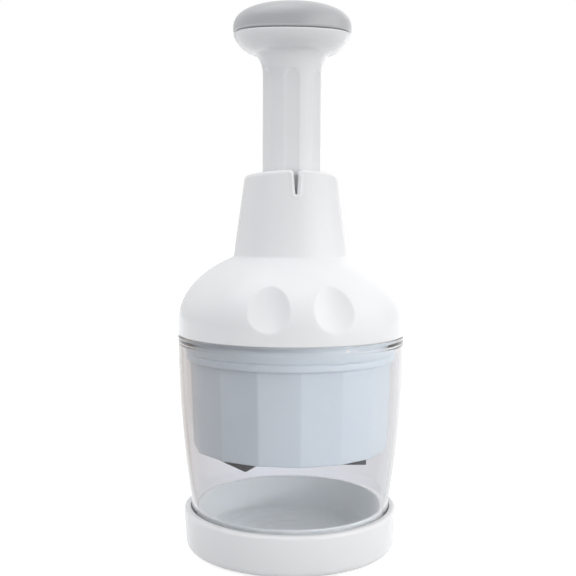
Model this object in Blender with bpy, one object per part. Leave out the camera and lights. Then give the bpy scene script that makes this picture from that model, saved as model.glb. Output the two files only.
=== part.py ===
# Hand chopper worked by striking its knob, in metres, +Z up, standing on z = 0 about the Z axis.
import math

import bmesh
import bpy

MM = 0.001
TAU = 2 * math.pi
WELD = 0.0001 * MM

# Clearances and cutting overrun
SEAT_GAP = 0.3 * MM
RUN_GAP = 0.6 * MM
OVERRUN = 2 * MM

# Steps round a turned piece, by how large it is
DOME_STEPS = 72
WIDE_STEPS = 48
STEM_STEPS = 48
KNOB_STEPS = 36
TUBE_STEPS = 24
ROD_STEPS = 12
SCREW_STEPS = 10
HOLE_TURN = math.pi / SCREW_STEPS

# Foot ring
FOOT_INSET = 8.3 * MM
FOOT_WIDTH = 4 * MM
FOOT_HEIGHT = 2 * MM
FOOT_SHOWS = 1 * MM

# Dish
DISH_TAPER = 1.2 * MM
DISH_HEIGHT = 18.2 * MM
DISH_WALL = 2 * MM
DISH_FLOOR = 2.6 * MM
DISH_FILLET = 5.5 * MM

# Tray in the dish
TRAY_TAPER = 1.2 * MM
TRAY_HEIGHT = 16.6 * MM
TRAY_WALL = 1.5 * MM
TRAY_FLOOR = 1.5 * MM
TRAY_FILLET = 2.4 * MM

# Housing: dome, skirt and neck
HOUSING_RADIUS = 51 * MM
HOUSING_WALL = 1.9 * MM
SKIRT_HEIGHT = 5.3 * MM
DOME_RISE = 34 * MM
NECK_BASE_RADIUS = 26 * MM
NECK_TOP_RADIUS = 20.9 * MM
NECK_HEIGHT = 38.15 * MM
NECK_ARCH = 2 * MM
NECK_WALL = 2.2 * MM
NECK_ROUND = 2 * MM
NECK_HOLE_GAP = 0.8 * MM
DIMPLE_ANGLE = math.radians(16)
DIMPLE_WIDTH = 18 * MM
DIMPLE_HEIGHT = 18.5 * MM
DIMPLE_DEPTH = 2.2 * MM
DIMPLE_RISE = 9.5 * MM
SLIT_DEPTH = 10.5 * MM
SLIT_TOP_WIDTH = 2 * MM
SLIT_FOOT_WIDTH = 0.8 * MM
SLIT_ROUND = 2.2 * MM
SLIT_ROUND_SHARE = 1 / 3

# Clear cup
CUP_TAPER = 6 * MM
CUP_WALL = 2.2 * MM
CUP_WALL_HEIGHT = 93.5 * MM
CUP_STRAIGHT_HEIGHT = 18 * MM
COLLAR_HEIGHT = 5 * MM
COLLAR_WALL = 1.3 * MM
COLLAR_ROOT = 1.6 * MM

# Guide sleeve
SLEEVE_RISE = 14.3 * MM
SLEEVE_WALL = 2 * MM
SLEEVE_FLANGE = 2 * MM
SLEEVE_DROP = 5 * MM
SLEEVE_FLOOR = 3 * MM
SLEEVE_TOP_GAP = 0.9 * MM

# Bayonet ring and the guard that hangs on it
BAYONET_SIDE_GAP = 2.5 * MM
BAYONET_WALL = 2.5 * MM
BAYONET_FLANGE = 2 * MM
BAYONET_TABS = 3
BAYONET_TAB_REACH = 3.1 * MM
BAYONET_TAB_HEIGHT = 2 * MM
BAYONET_TAB_ANGLE = math.radians(30)
BAYONET_NOTCH_ANGLE = math.radians(36)
GUARD_TWIST = math.radians(40)
GUARD_SIDES = 16
GUARD_WALL = 1.6 * MM
GUARD_TOP_RISE = 4.7 * MM
GUARD_LIP = 1.5 * MM
GUARD_BAND_HEIGHT = 7.7 * MM
GUARD_RIDGE_HEIGHT = 2.9 * MM
GUARD_GROOVE = 0.5 * MM
GUARD_RIDGE_STEP = 1.5 * MM
GUARD_FACET_HEIGHT = 40.1 * MM
GUARD_TAPER = 1.6 * MM
GUARD_LIP_REACH = 3.7 * MM
GUARD_FILLET = 0.5 * MM

# Press stroke, and how far the blades stop short of the tray's floor
PRESS_TRAVEL = 35.5 * MM
BLADE_TURN = math.radians(45)
BLADE_STOP_GAP = 0.4 * MM

# Handle: knob and stem
STEM_RADIUS = 13 * MM
STEM_BORE = 10.4 * MM
STEM_TOP = 213.8 * MM
STEM_END_STEP = 1 * MM
KNOB_RADIUS = 26.2 * MM
KNOB_WAIST_RADIUS = 17 * MM
KNOB_SWEEP_HEIGHT = 8.2 * MM
KNOB_BELLY_HEIGHT = 7.9 * MM
KNOB_SWEEP_ROUNDNESS = 1.7
KNOB_BELLY_ROUNDNESS = 1.3
KNOB_WALL = 7.5 * MM
KNOB_BOWL_DEPTH = 5 * MM
CAP_HEIGHT = 13.2 * MM
CAP_WALL = 3 * MM
CAP_EDGE = 1 * MM
CAP_ROUNDNESS = 2.6
FLUTES = 6
FLUTE_WIDTH = 6 * MM
FLUTE_DEPTH = 0.7 * MM
FLUTE_TURN = math.radians(-6)
STOP_RING_WIDTH = 2.6 * MM
STOP_RING_HEIGHT = 4.4 * MM

# Push rod and nut
ROD_RADIUS = 4.2 * MM
ROD_TOP_RADIUS = 3.6 * MM
ROD_COLLAR = 1.6 * MM
ROD_JOURNAL = 3 * MM
NUT_RADIUS = 6.4 * MM
NUT_HEIGHT = 3.5 * MM
ROD_SHOWS = 0.9 * MM

# Return spring
SPRING_RADIUS = 9 * MM
SPRING_WIRE = 1.2 * MM
SPRING_TURNS = 9
SPRING_STEPS = 8
SPRING_END_SHARE = 1.3
SPRING_SEAT = 0.6 * MM

# Cam nut and hub
HUB_RADIUS = 7 * MM
HUB_GROOVE_DEPTH = 2 * MM
HUB_GROOVE_WIDTH = 3.4 * MM
HUB_FLANGE_INSET = 8 * MM
HUB_FLANGE = 2 * MM
HUB_TOP_GAP = 3.3 * MM
HUB_LEVELS = 12
CAM_NUT_RADIUS = 15 * MM
CAM_NUT_HEIGHT = 3.3 * MM
CAM_NIB_WIDTH = 2.2 * MM
CAM_SCREW_CIRCLE = 11.5 * MM

# Blades, carrier and wiper plate
BLADE_THICK = 0.8 * MM
BLADE_SHARP = 3 * MM
BLADE_EDGE_SHARE = 0.25
BLADE_EAR = 1.5 * MM
BLADE_EAR_HEIGHT = 1.4 * MM
BLADE_SLOT_GAP = 0.5 * MM
CARRIER_SIDE_GAP = 3.4 * MM
CARRIER_THICK = 3.4 * MM
WIPER_THICK = 3 * MM
# Folds of one strip seen from above, as shares of the carrier's radius
FOLD_SHARES = (
    (-0.926, -0.034),
    (-0.568, -0.713),
    (-0.25, -0.132),
    (0.105, -0.553),
    (0.329, -0.118),
    (0.539, -0.474),
    (0.829, -0.5),
)

# Screws: head radius, head height, shank radius and shank length
HOUSING_SCREW = (2.8 * MM, 2 * MM, 1.3 * MM, 12 * MM)
HOUSING_SCREW_INSET = 6.5 * MM
HOUSING_SCREW_EDGE = 5 * MM
HOUSING_SCREWS = 4
BOSS_RADIUS = 3.4 * MM
CAM_SCREW = (2 * MM, 1.6 * MM, 1 * MM, 5.2 * MM)
CAM_SCREWS = 2
CARRIER_SCREW = (2.6 * MM, 1.8 * MM, 1.3 * MM, 5 * MM)
CARRIER_SCREW_SHARE = 0.58
CARRIER_SCREWS = 2
ROD_SCREW = (5 * MM, 1.7 * MM, 1.5 * MM, 10 * MM)
WASHER_RADIUS = 5.5 * MM
WASHER_THICK = 1 * MM
SOCKET_SHARE = 0.5
HEAD_ROUND_SHARE = 0.8

# Heights that follow from the sizes above
DISH_Z = FOOT_SHOWS
DISH_FLOOR_Z = DISH_Z + DISH_FLOOR
DISH_RIM_Z = DISH_Z + DISH_HEIGHT
TRAY_Z = DISH_FLOOR_Z + SEAT_GAP
TRAY_FLOOR_Z = TRAY_Z + TRAY_FLOOR
CUP_Z = DISH_FLOOR_Z + SEAT_GAP
CUP_SHOULDER_Z = CUP_Z + CUP_WALL_HEIGHT
HOUSING_Z = CUP_SHOULDER_Z + SEAT_GAP
DOME_Z = HOUSING_Z + SKIRT_HEIGHT
FLANGE_Z = HOUSING_Z + SLEEVE_RISE
SLEEVE_Z = FLANGE_Z - SLEEVE_DROP
SLEEVE_FLOOR_Z = SLEEVE_Z + SLEEVE_FLOOR
BAYONET_TOP_Z = FLANGE_Z - SEAT_GAP
GUARD_TOP_Z = HOUSING_Z + GUARD_TOP_RISE
TAB_TOP_Z = GUARD_TOP_Z - GUARD_LIP - SEAT_GAP
RIDGE_TOP_Z = HOUSING_Z - GUARD_BAND_HEIGHT
RIDGE_Z = RIDGE_TOP_Z - GUARD_RIDGE_HEIGHT
GUARD_Z = RIDGE_Z - GUARD_FACET_HEIGHT
WIPER_Z = GUARD_Z + GUARD_LIP + SEAT_GAP
WIPER_TOP_Z = WIPER_Z + WIPER_THICK
CARRIER_Z = WIPER_TOP_Z + RUN_GAP + PRESS_TRAVEL
CARRIER_TOP_Z = CARRIER_Z + CARRIER_THICK
BLADE_Z = TRAY_FLOOR_Z + BLADE_STOP_GAP + PRESS_TRAVEL
HUB_Z = CARRIER_TOP_Z + SEAT_GAP
HUB_FLANGE_TOP_Z = HUB_Z + HUB_FLANGE
CAM_NUT_TOP_Z = SLEEVE_Z - SEAT_GAP
CAM_NUT_Z = CAM_NUT_TOP_Z - CAM_NUT_HEIGHT

# Radii that follow from the sizes above
CUP_FOOT_RADIUS = HOUSING_RADIUS - CUP_TAPER
DISH_BOTTOM_RADIUS = CUP_FOOT_RADIUS + SEAT_GAP + DISH_WALL
DISH_TOP_RADIUS = DISH_BOTTOM_RADIUS + DISH_TAPER
FOOT_RADIUS = DISH_BOTTOM_RADIUS - FOOT_INSET
TRAY_RADIUS = CUP_FOOT_RADIUS - CUP_WALL - SEAT_GAP
SKIRT_INNER = HOUSING_RADIUS - HOUSING_WALL
COLLAR_RADIUS = SKIRT_INNER - SEAT_GAP
COLLAR_INNER = COLLAR_RADIUS - COLLAR_WALL
GUARD_RADIUS = COLLAR_INNER - SEAT_GAP
FACET_TOP_RADIUS = GUARD_RADIUS - GUARD_RIDGE_STEP
FACET_FOOT_RADIUS = FACET_TOP_RADIUS - GUARD_TAPER
FACET_SHARE = math.cos(math.pi / GUARD_SIDES)
GUARD_FOOT_INNER = FACET_FOOT_RADIUS - GUARD_WALL
WIPER_RADIUS = GUARD_FOOT_INNER * FACET_SHARE - SEAT_GAP
LIP_HOLE_RADIUS = GUARD_FOOT_INNER - GUARD_LIP_REACH
BAYONET_RADIUS = GUARD_RADIUS - GUARD_WALL - BAYONET_SIDE_GAP - BAYONET_TAB_REACH
HOUSING_SCREW_CIRCLE = BAYONET_RADIUS - BAYONET_WALL - HOUSING_SCREW_INSET
BAYONET_FLANGE_HOLE = HOUSING_SCREW_CIRCLE - HOUSING_SCREW_EDGE
SLEEVE_FLANGE_RADIUS = HOUSING_SCREW_CIRCLE + HOUSING_SCREW_EDGE
STEM_RUN = STEM_RADIUS + SEAT_GAP
STOP_RING_INNER = STEM_RADIUS - STEM_END_STEP + SEAT_GAP
STOP_RING_RADIUS = STOP_RING_INNER + STOP_RING_WIDTH
SLEEVE_BORE = STOP_RING_RADIUS + SEAT_GAP
SLEEVE_RADIUS = SLEEVE_BORE + SLEEVE_WALL
HUB_RUN = HUB_RADIUS + SEAT_GAP
HUB_BORE = ROD_JOURNAL + SEAT_GAP
ROD_RUN = ROD_TOP_RADIUS + SEAT_GAP
CARRIER_HOLE = WASHER_RADIUS + RUN_GAP
CARRIER_RADIUS = WIPER_RADIUS - CARRIER_SIDE_GAP
CARRIER_SCREW_CIRCLE = CARRIER_RADIUS * CARRIER_SCREW_SHARE
HUB_FLANGE_RADIUS = CARRIER_RADIUS - HUB_FLANGE_INSET


def dome_height(radius, inset=0.0):
    """Height of the dome's surface, or of one that lies inset inside it, at a radius."""
    share = min(radius / (HOUSING_RADIUS - inset), 1)
    return DOME_Z + (DOME_RISE - inset) * math.sqrt(1 - share * share)


NECK_Z = dome_height(NECK_BASE_RADIUS)
NECK_TOP_Z = NECK_Z + NECK_HEIGHT
SLEEVE_TOP_Z = NECK_TOP_Z - NECK_ARCH - NECK_WALL - SLEEVE_TOP_GAP
STOP_TOP_Z = CAM_NUT_TOP_Z + PRESS_TRAVEL + RUN_GAP + HUB_TOP_GAP + STOP_RING_HEIGHT
STEM_END_Z = STOP_TOP_Z + SEAT_GAP
STEM_Z = STEM_END_Z - STOP_RING_HEIGHT
HUB_TOP_Z = STEM_Z - HUB_TOP_GAP
BELLY_Z = STEM_TOP + KNOB_SWEEP_HEIGHT
RIM_Z = BELLY_Z + KNOB_BELLY_HEIGHT
BOWL_Z = RIM_Z - KNOB_BOWL_DEPTH
POCKET_Z = BOWL_Z - NUT_HEIGHT - ROD_SHOWS - SEAT_GAP
CAP_Z = RIM_Z + SEAT_GAP
SPRING_Z = SLEEVE_FLOOR_Z + SEAT_GAP + SPRING_SEAT + SEAT_GAP
SPRING_TOP_Z = SPRING_Z + 2 * PRESS_TRAVEL
COLLAR_Z = SPRING_TOP_Z + SEAT_GAP
SPRING_STOP_Z = COLLAR_Z + ROD_COLLAR + SEAT_GAP


def clear_scene():
    for obj in list(bpy.data.objects):
        bpy.data.objects.remove(obj)


def plastic(name, colour, roughness, metallic=0.0, alpha=1.0):
    material = bpy.data.materials.new(name)
    material.use_nodes = True
    shader = material.node_tree.nodes["Principled BSDF"]
    shader.inputs["Base Color"].default_value = (*colour, 1)
    shader.inputs["Roughness"].default_value = roughness
    shader.inputs["Metallic"].default_value = metallic
    shader.inputs["Alpha"].default_value = alpha
    material.diffuse_color = (*colour, alpha)
    return material


def white():
    return plastic("white_plastic", (0.86, 0.86, 0.87), 0.28)


def milky():
    return plastic("milky_plastic", (0.52, 0.6, 0.7), 0.35)


def clear():
    return plastic("clear_plastic", (0.92, 0.93, 0.95), 0.08, alpha=0.25)


def soft_grey():
    return plastic("soft_grey", (0.42, 0.43, 0.45), 0.62)


def dark_rubber():
    return plastic("dark_rubber", (0.12, 0.12, 0.13), 0.7)


def steel():
    return plastic("steel", (0.6, 0.6, 0.62), 0.3, metallic=1.0)


def body(name):
    """Empty on the chopper's axis that carries the pieces of one moving body."""
    empty = bpy.data.objects.new(name, None)
    bpy.context.collection.objects.link(empty)
    return empty


def add_object(name, mesh, material, parent, place=(0, 0, 0)):
    """Adds a finished piece to the scene, smooth where it is round."""
    obj = bpy.data.objects.new(name, mesh)
    obj.data.materials.append(material)
    obj.location = place
    obj.parent = parent
    bpy.context.collection.objects.link(obj)
    return obj


def mesh_from(bm, name):
    bmesh.ops.remove_doubles(bm, verts=bm.verts, dist=WELD)
    bmesh.ops.recalc_face_normals(bm, faces=bm.faces)
    mesh = bpy.data.meshes.new(name)
    bm.to_mesh(mesh)
    bm.free()
    mesh.shade_smooth()
    mesh.set_sharp_from_angle(angle=math.radians(30))
    return mesh


def turned(name, outline, steps, reshape=None):
    """Mesh of an outline of (radius, height) points turned about Z, closed unless it ends on the axis."""
    bm = bmesh.new()
    points = [bm.verts.new((radius, 0, z)) for radius, z in outline]
    for first, second in zip(points, points[1:]):
        bm.edges.new((first, second))
    if min(radius for radius, _ in outline) > 0:
        bm.edges.new((points[-1], points[0]))
    bmesh.ops.spin(
        bm,
        geom=bm.verts[:] + bm.edges[:],
        axis=(0, 0, 1),
        cent=(0, 0, 0),
        angle=TAU,
        steps=steps,
        use_merge=True,
    )
    if reshape:
        for vert in bm.verts:
            factor = reshape(math.atan2(vert.co.y, vert.co.x), math.hypot(vert.co.x, vert.co.y), vert.co.z)
            vert.co.x *= factor
            vert.co.y *= factor
    return mesh_from(bm, name)


def sector(name, outline, middle, width, steps):
    """Mesh of an outline of (radius, height) points turned through one angle about Z."""
    bm = bmesh.new()
    start = middle - width / 2
    loops = []
    for step in range(steps + 1):
        angle = start + width * step / steps
        loops.append([bm.verts.new((r * math.cos(angle), r * math.sin(angle), z)) for r, z in outline])
    for first, second in zip(loops, loops[1:]):
        for i in range(len(outline)):
            j = (i + 1) % len(outline)
            bm.faces.new((first[i], first[j], second[j], second[i]))
    bm.faces.new(loops[0])
    bm.faces.new(loops[-1])
    return mesh_from(bm, name)


def prism(name, outline, length, axis):
    """Mesh of a flat outline of (across, z) points run both ways along X or Y."""
    bm = bmesh.new()
    if axis == "X":
        rows = [[bm.verts.new((side * length, u, z)) for u, z in outline] for side in (-1, 1)]
    else:
        rows = [[bm.verts.new((u, side * length, z)) for u, z in outline] for side in (-1, 1)]
    bm.faces.new(rows[0])
    bm.faces.new(rows[1])
    for i in range(len(outline)):
        j = (i + 1) % len(outline)
        bm.faces.new((rows[0][i], rows[0][j], rows[1][j], rows[1][i]))
    return mesh_from(bm, name)


def rod(name, radius, low, high, steps):
    """Mesh of a plain round bar on the Z axis."""
    return turned(name, [(0, low), (radius, low), (radius, high), (0, high)], steps)


def cutter(name, mesh, parent, place=(0, 0, 0), turn=0.0):
    obj = bpy.data.objects.new(name, mesh)
    obj.location = place
    obj.rotation_euler.z = turn
    obj.parent = parent
    obj.hide_render = True
    obj.display_type = "WIRE"
    bpy.context.collection.objects.link(obj)
    return obj


def boolean(obj, other, operation, solver="EXACT"):
    modifier = obj.modifiers.new(operation.lower() + "_" + other.name, "BOOLEAN")
    modifier.operation = operation
    modifier.solver = solver
    modifier.object = other


def arc(middle, reach, start, end, steps, roundness=2):
    """Points of an oval's arc, elliptical when roundness is 2; pairs are (radius, height), angles in degrees."""
    points = []
    for step in range(steps + 1):
        angle = math.radians(start + (end - start) * step / steps)
        across = math.copysign(abs(math.cos(angle)) ** (2 / roundness), math.cos(angle))
        up = math.copysign(abs(math.sin(angle)) ** (2 / roundness), math.sin(angle))
        points.append((middle[0] + reach[0] * across, middle[1] + reach[1] * up))
    return points


def around(count, circle, first=0.0):
    """Places on a circle about the Z axis."""
    angles = [first + TAU * i / count for i in range(count)]
    return [(circle * math.cos(angle), circle * math.sin(angle)) for angle in angles]


def screw_mesh(name, size):
    """Screw with its head's underside at z = 0 and its shank running up."""
    head_radius, head_height, shank_radius, shank_length = size
    socket = head_radius * SOCKET_SHARE
    socket_depth = head_height * SOCKET_SHARE
    outline = [
        (0, socket_depth - head_height),
        (socket, socket_depth - head_height),
        (socket, -head_height),
        (head_radius * HEAD_ROUND_SHARE, -head_height),
        (head_radius, socket_depth - head_height),
        (head_radius, 0),
        (shank_radius, 0),
        (shank_radius, shank_length - shank_radius),
        (0, shank_length),
    ]
    return turned(name, outline, SCREW_STEPS)


def make_foot_ring(base):
    inner = FOOT_RADIUS - FOOT_WIDTH / 2
    outer = FOOT_RADIUS + FOOT_WIDTH / 2
    outline = [(inner, 0), (outer, 0), (outer, FOOT_HEIGHT), (inner, FOOT_HEIGHT)]
    add_object("foot_ring", turned("foot_ring", outline, WIDE_STEPS), dark_rubber(), base)


def make_dish(base):
    groove_in = FOOT_RADIUS - FOOT_WIDTH / 2 - SEAT_GAP
    groove_out = FOOT_RADIUS + FOOT_WIDTH / 2 + SEAT_GAP
    groove_z = FOOT_HEIGHT + SEAT_GAP
    corner = (DISH_BOTTOM_RADIUS - DISH_FILLET, DISH_Z + DISH_FILLET)
    inner = DISH_BOTTOM_RADIUS - DISH_WALL
    rim_half = (DISH_TOP_RADIUS - inner) / 2
    rim = (inner + rim_half, DISH_RIM_Z - rim_half)
    outline = [(0, DISH_Z), (groove_in, DISH_Z), (groove_in, groove_z), (groove_out, groove_z)]
    outline += [(groove_out, DISH_Z)]
    outline += arc(corner, (DISH_FILLET, DISH_FILLET), -90, 0, 5)
    outline += arc(rim, (rim_half, rim_half), 0, 180, 6)
    outline += [(inner, DISH_FLOOR_Z), (0, DISH_FLOOR_Z)]
    add_object("base_dish", turned("base_dish", outline, WIDE_STEPS), white(), base)


def make_tray(base):
    foot = TRAY_RADIUS - TRAY_TAPER
    top_z = TRAY_Z + TRAY_HEIGHT
    outer = (foot - TRAY_FILLET, TRAY_Z + TRAY_FILLET)
    inner_fillet = TRAY_FILLET - TRAY_WALL / 2
    inner = (foot - TRAY_WALL - inner_fillet, TRAY_FLOOR_Z + inner_fillet)
    outline = [(0, TRAY_Z)]
    outline += arc(outer, (TRAY_FILLET, TRAY_FILLET), -90, 0, 3)
    outline += [(TRAY_RADIUS, top_z), (TRAY_RADIUS - TRAY_WALL, top_z)]
    outline += arc(inner, (inner_fillet, inner_fillet), 0, -90, 3)
    outline += [(0, TRAY_FLOOR_Z)]
    add_object("base_insert", turned("base_insert", outline, KNOB_STEPS), milky(), base)


def cup_radius(z):
    """Outer radius of the clear cup: straight at its foot, then a curve that ends upright at the housing."""
    share = max(z - CUP_Z - CUP_STRAIGHT_HEIGHT, 0) / (CUP_WALL_HEIGHT - CUP_STRAIGHT_HEIGHT)
    return CUP_FOOT_RADIUS + (HOUSING_RADIUS - CUP_FOOT_RADIUS) * (1 - (1 - share) ** 2)


def make_cup(cup):
    bands = 4
    straight_z = CUP_Z + CUP_STRAIGHT_HEIGHT
    heights = [straight_z + (CUP_SHOULDER_Z - straight_z) * i / bands for i in range(bands + 1)]
    collar_top_z = CUP_SHOULDER_Z + COLLAR_HEIGHT
    root_z = CUP_SHOULDER_Z - COLLAR_ROOT
    inner_top_z = root_z - CUP_WALL
    outline = [(CUP_FOOT_RADIUS, CUP_Z)] + [(cup_radius(z), z) for z in heights]
    outline += [(COLLAR_RADIUS, CUP_SHOULDER_Z), (COLLAR_RADIUS, collar_top_z), (COLLAR_INNER, collar_top_z)]
    outline += [(COLLAR_INNER, root_z), (cup_radius(inner_top_z) - CUP_WALL, inner_top_z)]
    outline += [(cup_radius(z) - CUP_WALL, z) for z in reversed(heights[:-1])]
    outline += [(CUP_FOOT_RADIUS - CUP_WALL, CUP_Z)]
    add_object("clear_cup", turned("clear_cup", outline, WIDE_STEPS), clear(), cup)


def neck_radius(z):
    share = (z - NECK_Z) / NECK_HEIGHT
    return NECK_BASE_RADIUS + (NECK_TOP_RADIUS - NECK_BASE_RADIUS) * share


def neck_drop(x, z):
    """How far a point of the neck lies below where a flat top would put it: the top arches up to its slits."""
    share = max(z - NECK_Z, 0) / NECK_HEIGHT
    return NECK_ARCH * share * (x / NECK_TOP_RADIUS) ** 2


def dimple(angle, radius, z):
    """Share of its radius that a point of the housing keeps: two thumb dimples in front and two behind."""
    from_side = abs(angle) - math.pi / 2
    across = (abs(from_side) - DIMPLE_ANGLE) * HOUSING_RADIUS / (DIMPLE_WIDTH / 2)
    up = (z - DOME_Z - DIMPLE_RISE) / (DIMPLE_HEIGHT / 2)
    depth = DIMPLE_DEPTH * max(1 - across * across - up * up, 0)
    return 1 - depth / radius


def housing_outline():
    dome_steps = 8
    outer_end = math.degrees(math.acos((NECK_BASE_RADIUS + NECK_ROUND) / HOUSING_RADIUS))
    inner_rise = DOME_RISE - HOUSING_WALL
    neck_inner = NECK_BASE_RADIUS - NECK_WALL
    inner_end = math.degrees(math.acos(neck_inner / SKIRT_INNER))
    rim = (NECK_TOP_RADIUS - NECK_ROUND, NECK_TOP_Z - NECK_ROUND)
    lip_z = NECK_TOP_Z - NECK_WALL
    slope = math.degrees(math.atan2(NECK_BASE_RADIUS - NECK_TOP_RADIUS, NECK_HEIGHT))
    outline = [(HOUSING_RADIUS, HOUSING_Z)]
    outline += arc((0, DOME_Z), (HOUSING_RADIUS, DOME_RISE), 0, outer_end, dome_steps)
    outline += [(neck_radius(NECK_Z + NECK_ROUND), NECK_Z + NECK_ROUND)]
    outline += arc(rim, (NECK_ROUND, NECK_ROUND), slope, 90, 3)
    outline += [(STEM_RADIUS + NECK_HOLE_GAP, NECK_TOP_Z), (STEM_RADIUS + NECK_HOLE_GAP, lip_z)]
    outline += [(neck_radius(lip_z) - NECK_WALL, lip_z)]
    outline += arc((0, DOME_Z), (SKIRT_INNER, inner_rise), inner_end, 0, dome_steps)
    outline += [(SKIRT_INNER, HOUSING_Z)]
    return outline


def boss_mesh():
    """Upright boss for a housing screw, whose top follows the middle of the dome's wall."""
    place = HOUSING_SCREW_CIRCLE
    mesh = rod("boss", BOSS_RADIUS, FLANGE_Z + SLEEVE_FLANGE + SEAT_GAP, DOME_Z, ROD_STEPS)
    for vert in mesh.vertices:
        if vert.co.z > DOME_Z - SEAT_GAP:
            vert.co.z = dome_height(math.hypot(vert.co.x + place, vert.co.y), HOUSING_WALL / 2)
    return mesh


def make_housing(housing):
    mesh = turned("housing_shell", housing_outline(), DOME_STEPS, dimple)
    for vert in mesh.vertices:
        vert.co.z -= neck_drop(vert.co.x, vert.co.z)
    shell = add_object("housing_shell", mesh, white(), housing)
    bosses = boss_mesh()
    hole_top = FLANGE_Z + HOUSING_SCREW[3] + SEAT_GAP
    holes = rod("boss_hole", HOUSING_SCREW[2] + SEAT_GAP, FLANGE_Z, hole_top, SCREW_STEPS)
    angles = [TAU * (i + 0.5) / HOUSING_SCREWS for i in range(HOUSING_SCREWS)]
    for i, angle in enumerate(angles):
        place = (HOUSING_SCREW_CIRCLE * math.cos(angle), HOUSING_SCREW_CIRCLE * math.sin(angle), 0)
        boolean(shell, cutter(f"boss_{i + 1}", bosses, housing, place, angle), "UNION")
        boolean(shell, cutter(f"boss_hole_{i + 1}", holes, housing, place, HOLE_TURN), "DIFFERENCE")
    top_z = NECK_TOP_Z + OVERRUN
    shoulder_z = NECK_TOP_Z - SLIT_ROUND
    foot_z = NECK_TOP_Z - SLIT_DEPTH
    half_top = SLIT_TOP_WIDTH / 2
    half_foot = SLIT_FOOT_WIDTH / 2
    corner = SLIT_ROUND * SLIT_ROUND_SHARE
    side = [(half_foot, foot_z), (half_top, shoulder_z), (half_top + corner, NECK_TOP_Z - corner)]
    side += [(half_top + SLIT_ROUND, NECK_TOP_Z), (half_top + SLIT_ROUND, top_z)]
    slit = side + [(-x, z) for x, z in reversed(side)]
    boolean(shell, cutter("slit", prism("slit", slit, HOUSING_RADIUS, "Y"), housing), "DIFFERENCE")


def make_sleeve(housing):
    top = FLANGE_Z + SLEEVE_FLANGE
    outline = [(HUB_RUN, SLEEVE_Z), (SLEEVE_RADIUS, SLEEVE_Z), (SLEEVE_RADIUS, FLANGE_Z)]
    outline += [(SLEEVE_FLANGE_RADIUS, FLANGE_Z), (SLEEVE_FLANGE_RADIUS, top), (SLEEVE_RADIUS, top)]
    outline += [(SLEEVE_RADIUS, SLEEVE_TOP_Z), (STEM_RUN, SLEEVE_TOP_Z), (STEM_RUN, STEM_END_Z)]
    outline += [(SLEEVE_BORE, STEM_END_Z), (SLEEVE_BORE, SLEEVE_FLOOR_Z), (HUB_RUN, SLEEVE_FLOOR_Z)]
    sleeve = add_object("guide_sleeve", turned("guide_sleeve", outline, TUBE_STEPS), white(), housing)
    drill_housing_holes(sleeve, "sleeve_hole", housing)
    drill_cam_holes(sleeve, "sleeve_cam_hole", housing)


def drill_housing_holes(obj, name, housing):
    high = FLANGE_Z + SLEEVE_FLANGE + OVERRUN
    low = BAYONET_TOP_Z - BAYONET_FLANGE - OVERRUN
    mesh = rod(name, HOUSING_SCREW[2] + SEAT_GAP, low, high, SCREW_STEPS)
    for i, (x, y) in enumerate(around(HOUSING_SCREWS, HOUSING_SCREW_CIRCLE, math.pi / HOUSING_SCREWS)):
        boolean(obj, cutter(f"{name}_{i + 1}", mesh, housing, (x, y, 0), HOLE_TURN), "DIFFERENCE")


def drill_cam_holes(obj, name, housing):
    mesh = rod(name, CAM_SCREW[2] + SEAT_GAP, CAM_NUT_Z - OVERRUN, SLEEVE_FLOOR_Z + OVERRUN, SCREW_STEPS)
    for i, (x, y) in enumerate(around(CAM_SCREWS, CAM_SCREW_CIRCLE)):
        boolean(obj, cutter(f"{name}_{i + 1}", mesh, housing, (x, y, 0), HOLE_TURN), "DIFFERENCE")


def make_bayonet_ring(housing):
    inner = BAYONET_RADIUS - BAYONET_WALL
    low = TAB_TOP_Z - BAYONET_TAB_HEIGHT
    flange_z = BAYONET_TOP_Z - BAYONET_FLANGE
    outline = [(inner, low), (BAYONET_RADIUS, low), (BAYONET_RADIUS, BAYONET_TOP_Z)]
    outline += [(BAYONET_FLANGE_HOLE, BAYONET_TOP_Z), (BAYONET_FLANGE_HOLE, flange_z), (inner, flange_z)]
    ring = add_object("bayonet_ring", turned("bayonet_ring", outline, KNOB_STEPS), white(), housing)
    drill_housing_holes(ring, "bayonet_hole", housing)
    root = BAYONET_RADIUS - BAYONET_WALL / 2
    reach = BAYONET_RADIUS + BAYONET_TAB_REACH
    bottom = low + SEAT_GAP
    tab = [(root, bottom), (reach, bottom), (reach, TAB_TOP_Z), (root, TAB_TOP_Z)]
    for i in range(BAYONET_TABS):
        mesh = sector(f"tab_{i + 1}", tab, TAU * i / BAYONET_TABS, BAYONET_TAB_ANGLE, 4)
        boolean(ring, cutter(f"tab_{i + 1}", mesh, housing), "UNION")


def make_cam_nut(housing):
    outline = [(HUB_RUN, CAM_NUT_Z), (CAM_NUT_RADIUS, CAM_NUT_Z)]
    outline += [(CAM_NUT_RADIUS, CAM_NUT_TOP_Z), (HUB_RUN, CAM_NUT_TOP_Z)]
    nut = add_object("cam_nut", turned("cam_nut", outline, TUBE_STEPS), milky(), housing)
    tip = HUB_RADIUS - HUB_GROOVE_DEPTH + SEAT_GAP
    root = HUB_RUN + SEAT_GAP
    low = CAM_NUT_Z + SEAT_GAP
    high = CAM_NUT_TOP_Z - SEAT_GAP
    width = CAM_NIB_WIDTH / root
    nib = [(tip, low), (root, low), (root, high), (tip, high)]
    for i in range(2):
        mesh = sector(f"nib_{i + 1}", nib, math.pi / 2 + math.pi * i, width, 2)
        boolean(nut, cutter(f"nib_{i + 1}", mesh, housing), "UNION")
    drill_cam_holes(nut, "nut_cam_hole", housing)


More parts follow.
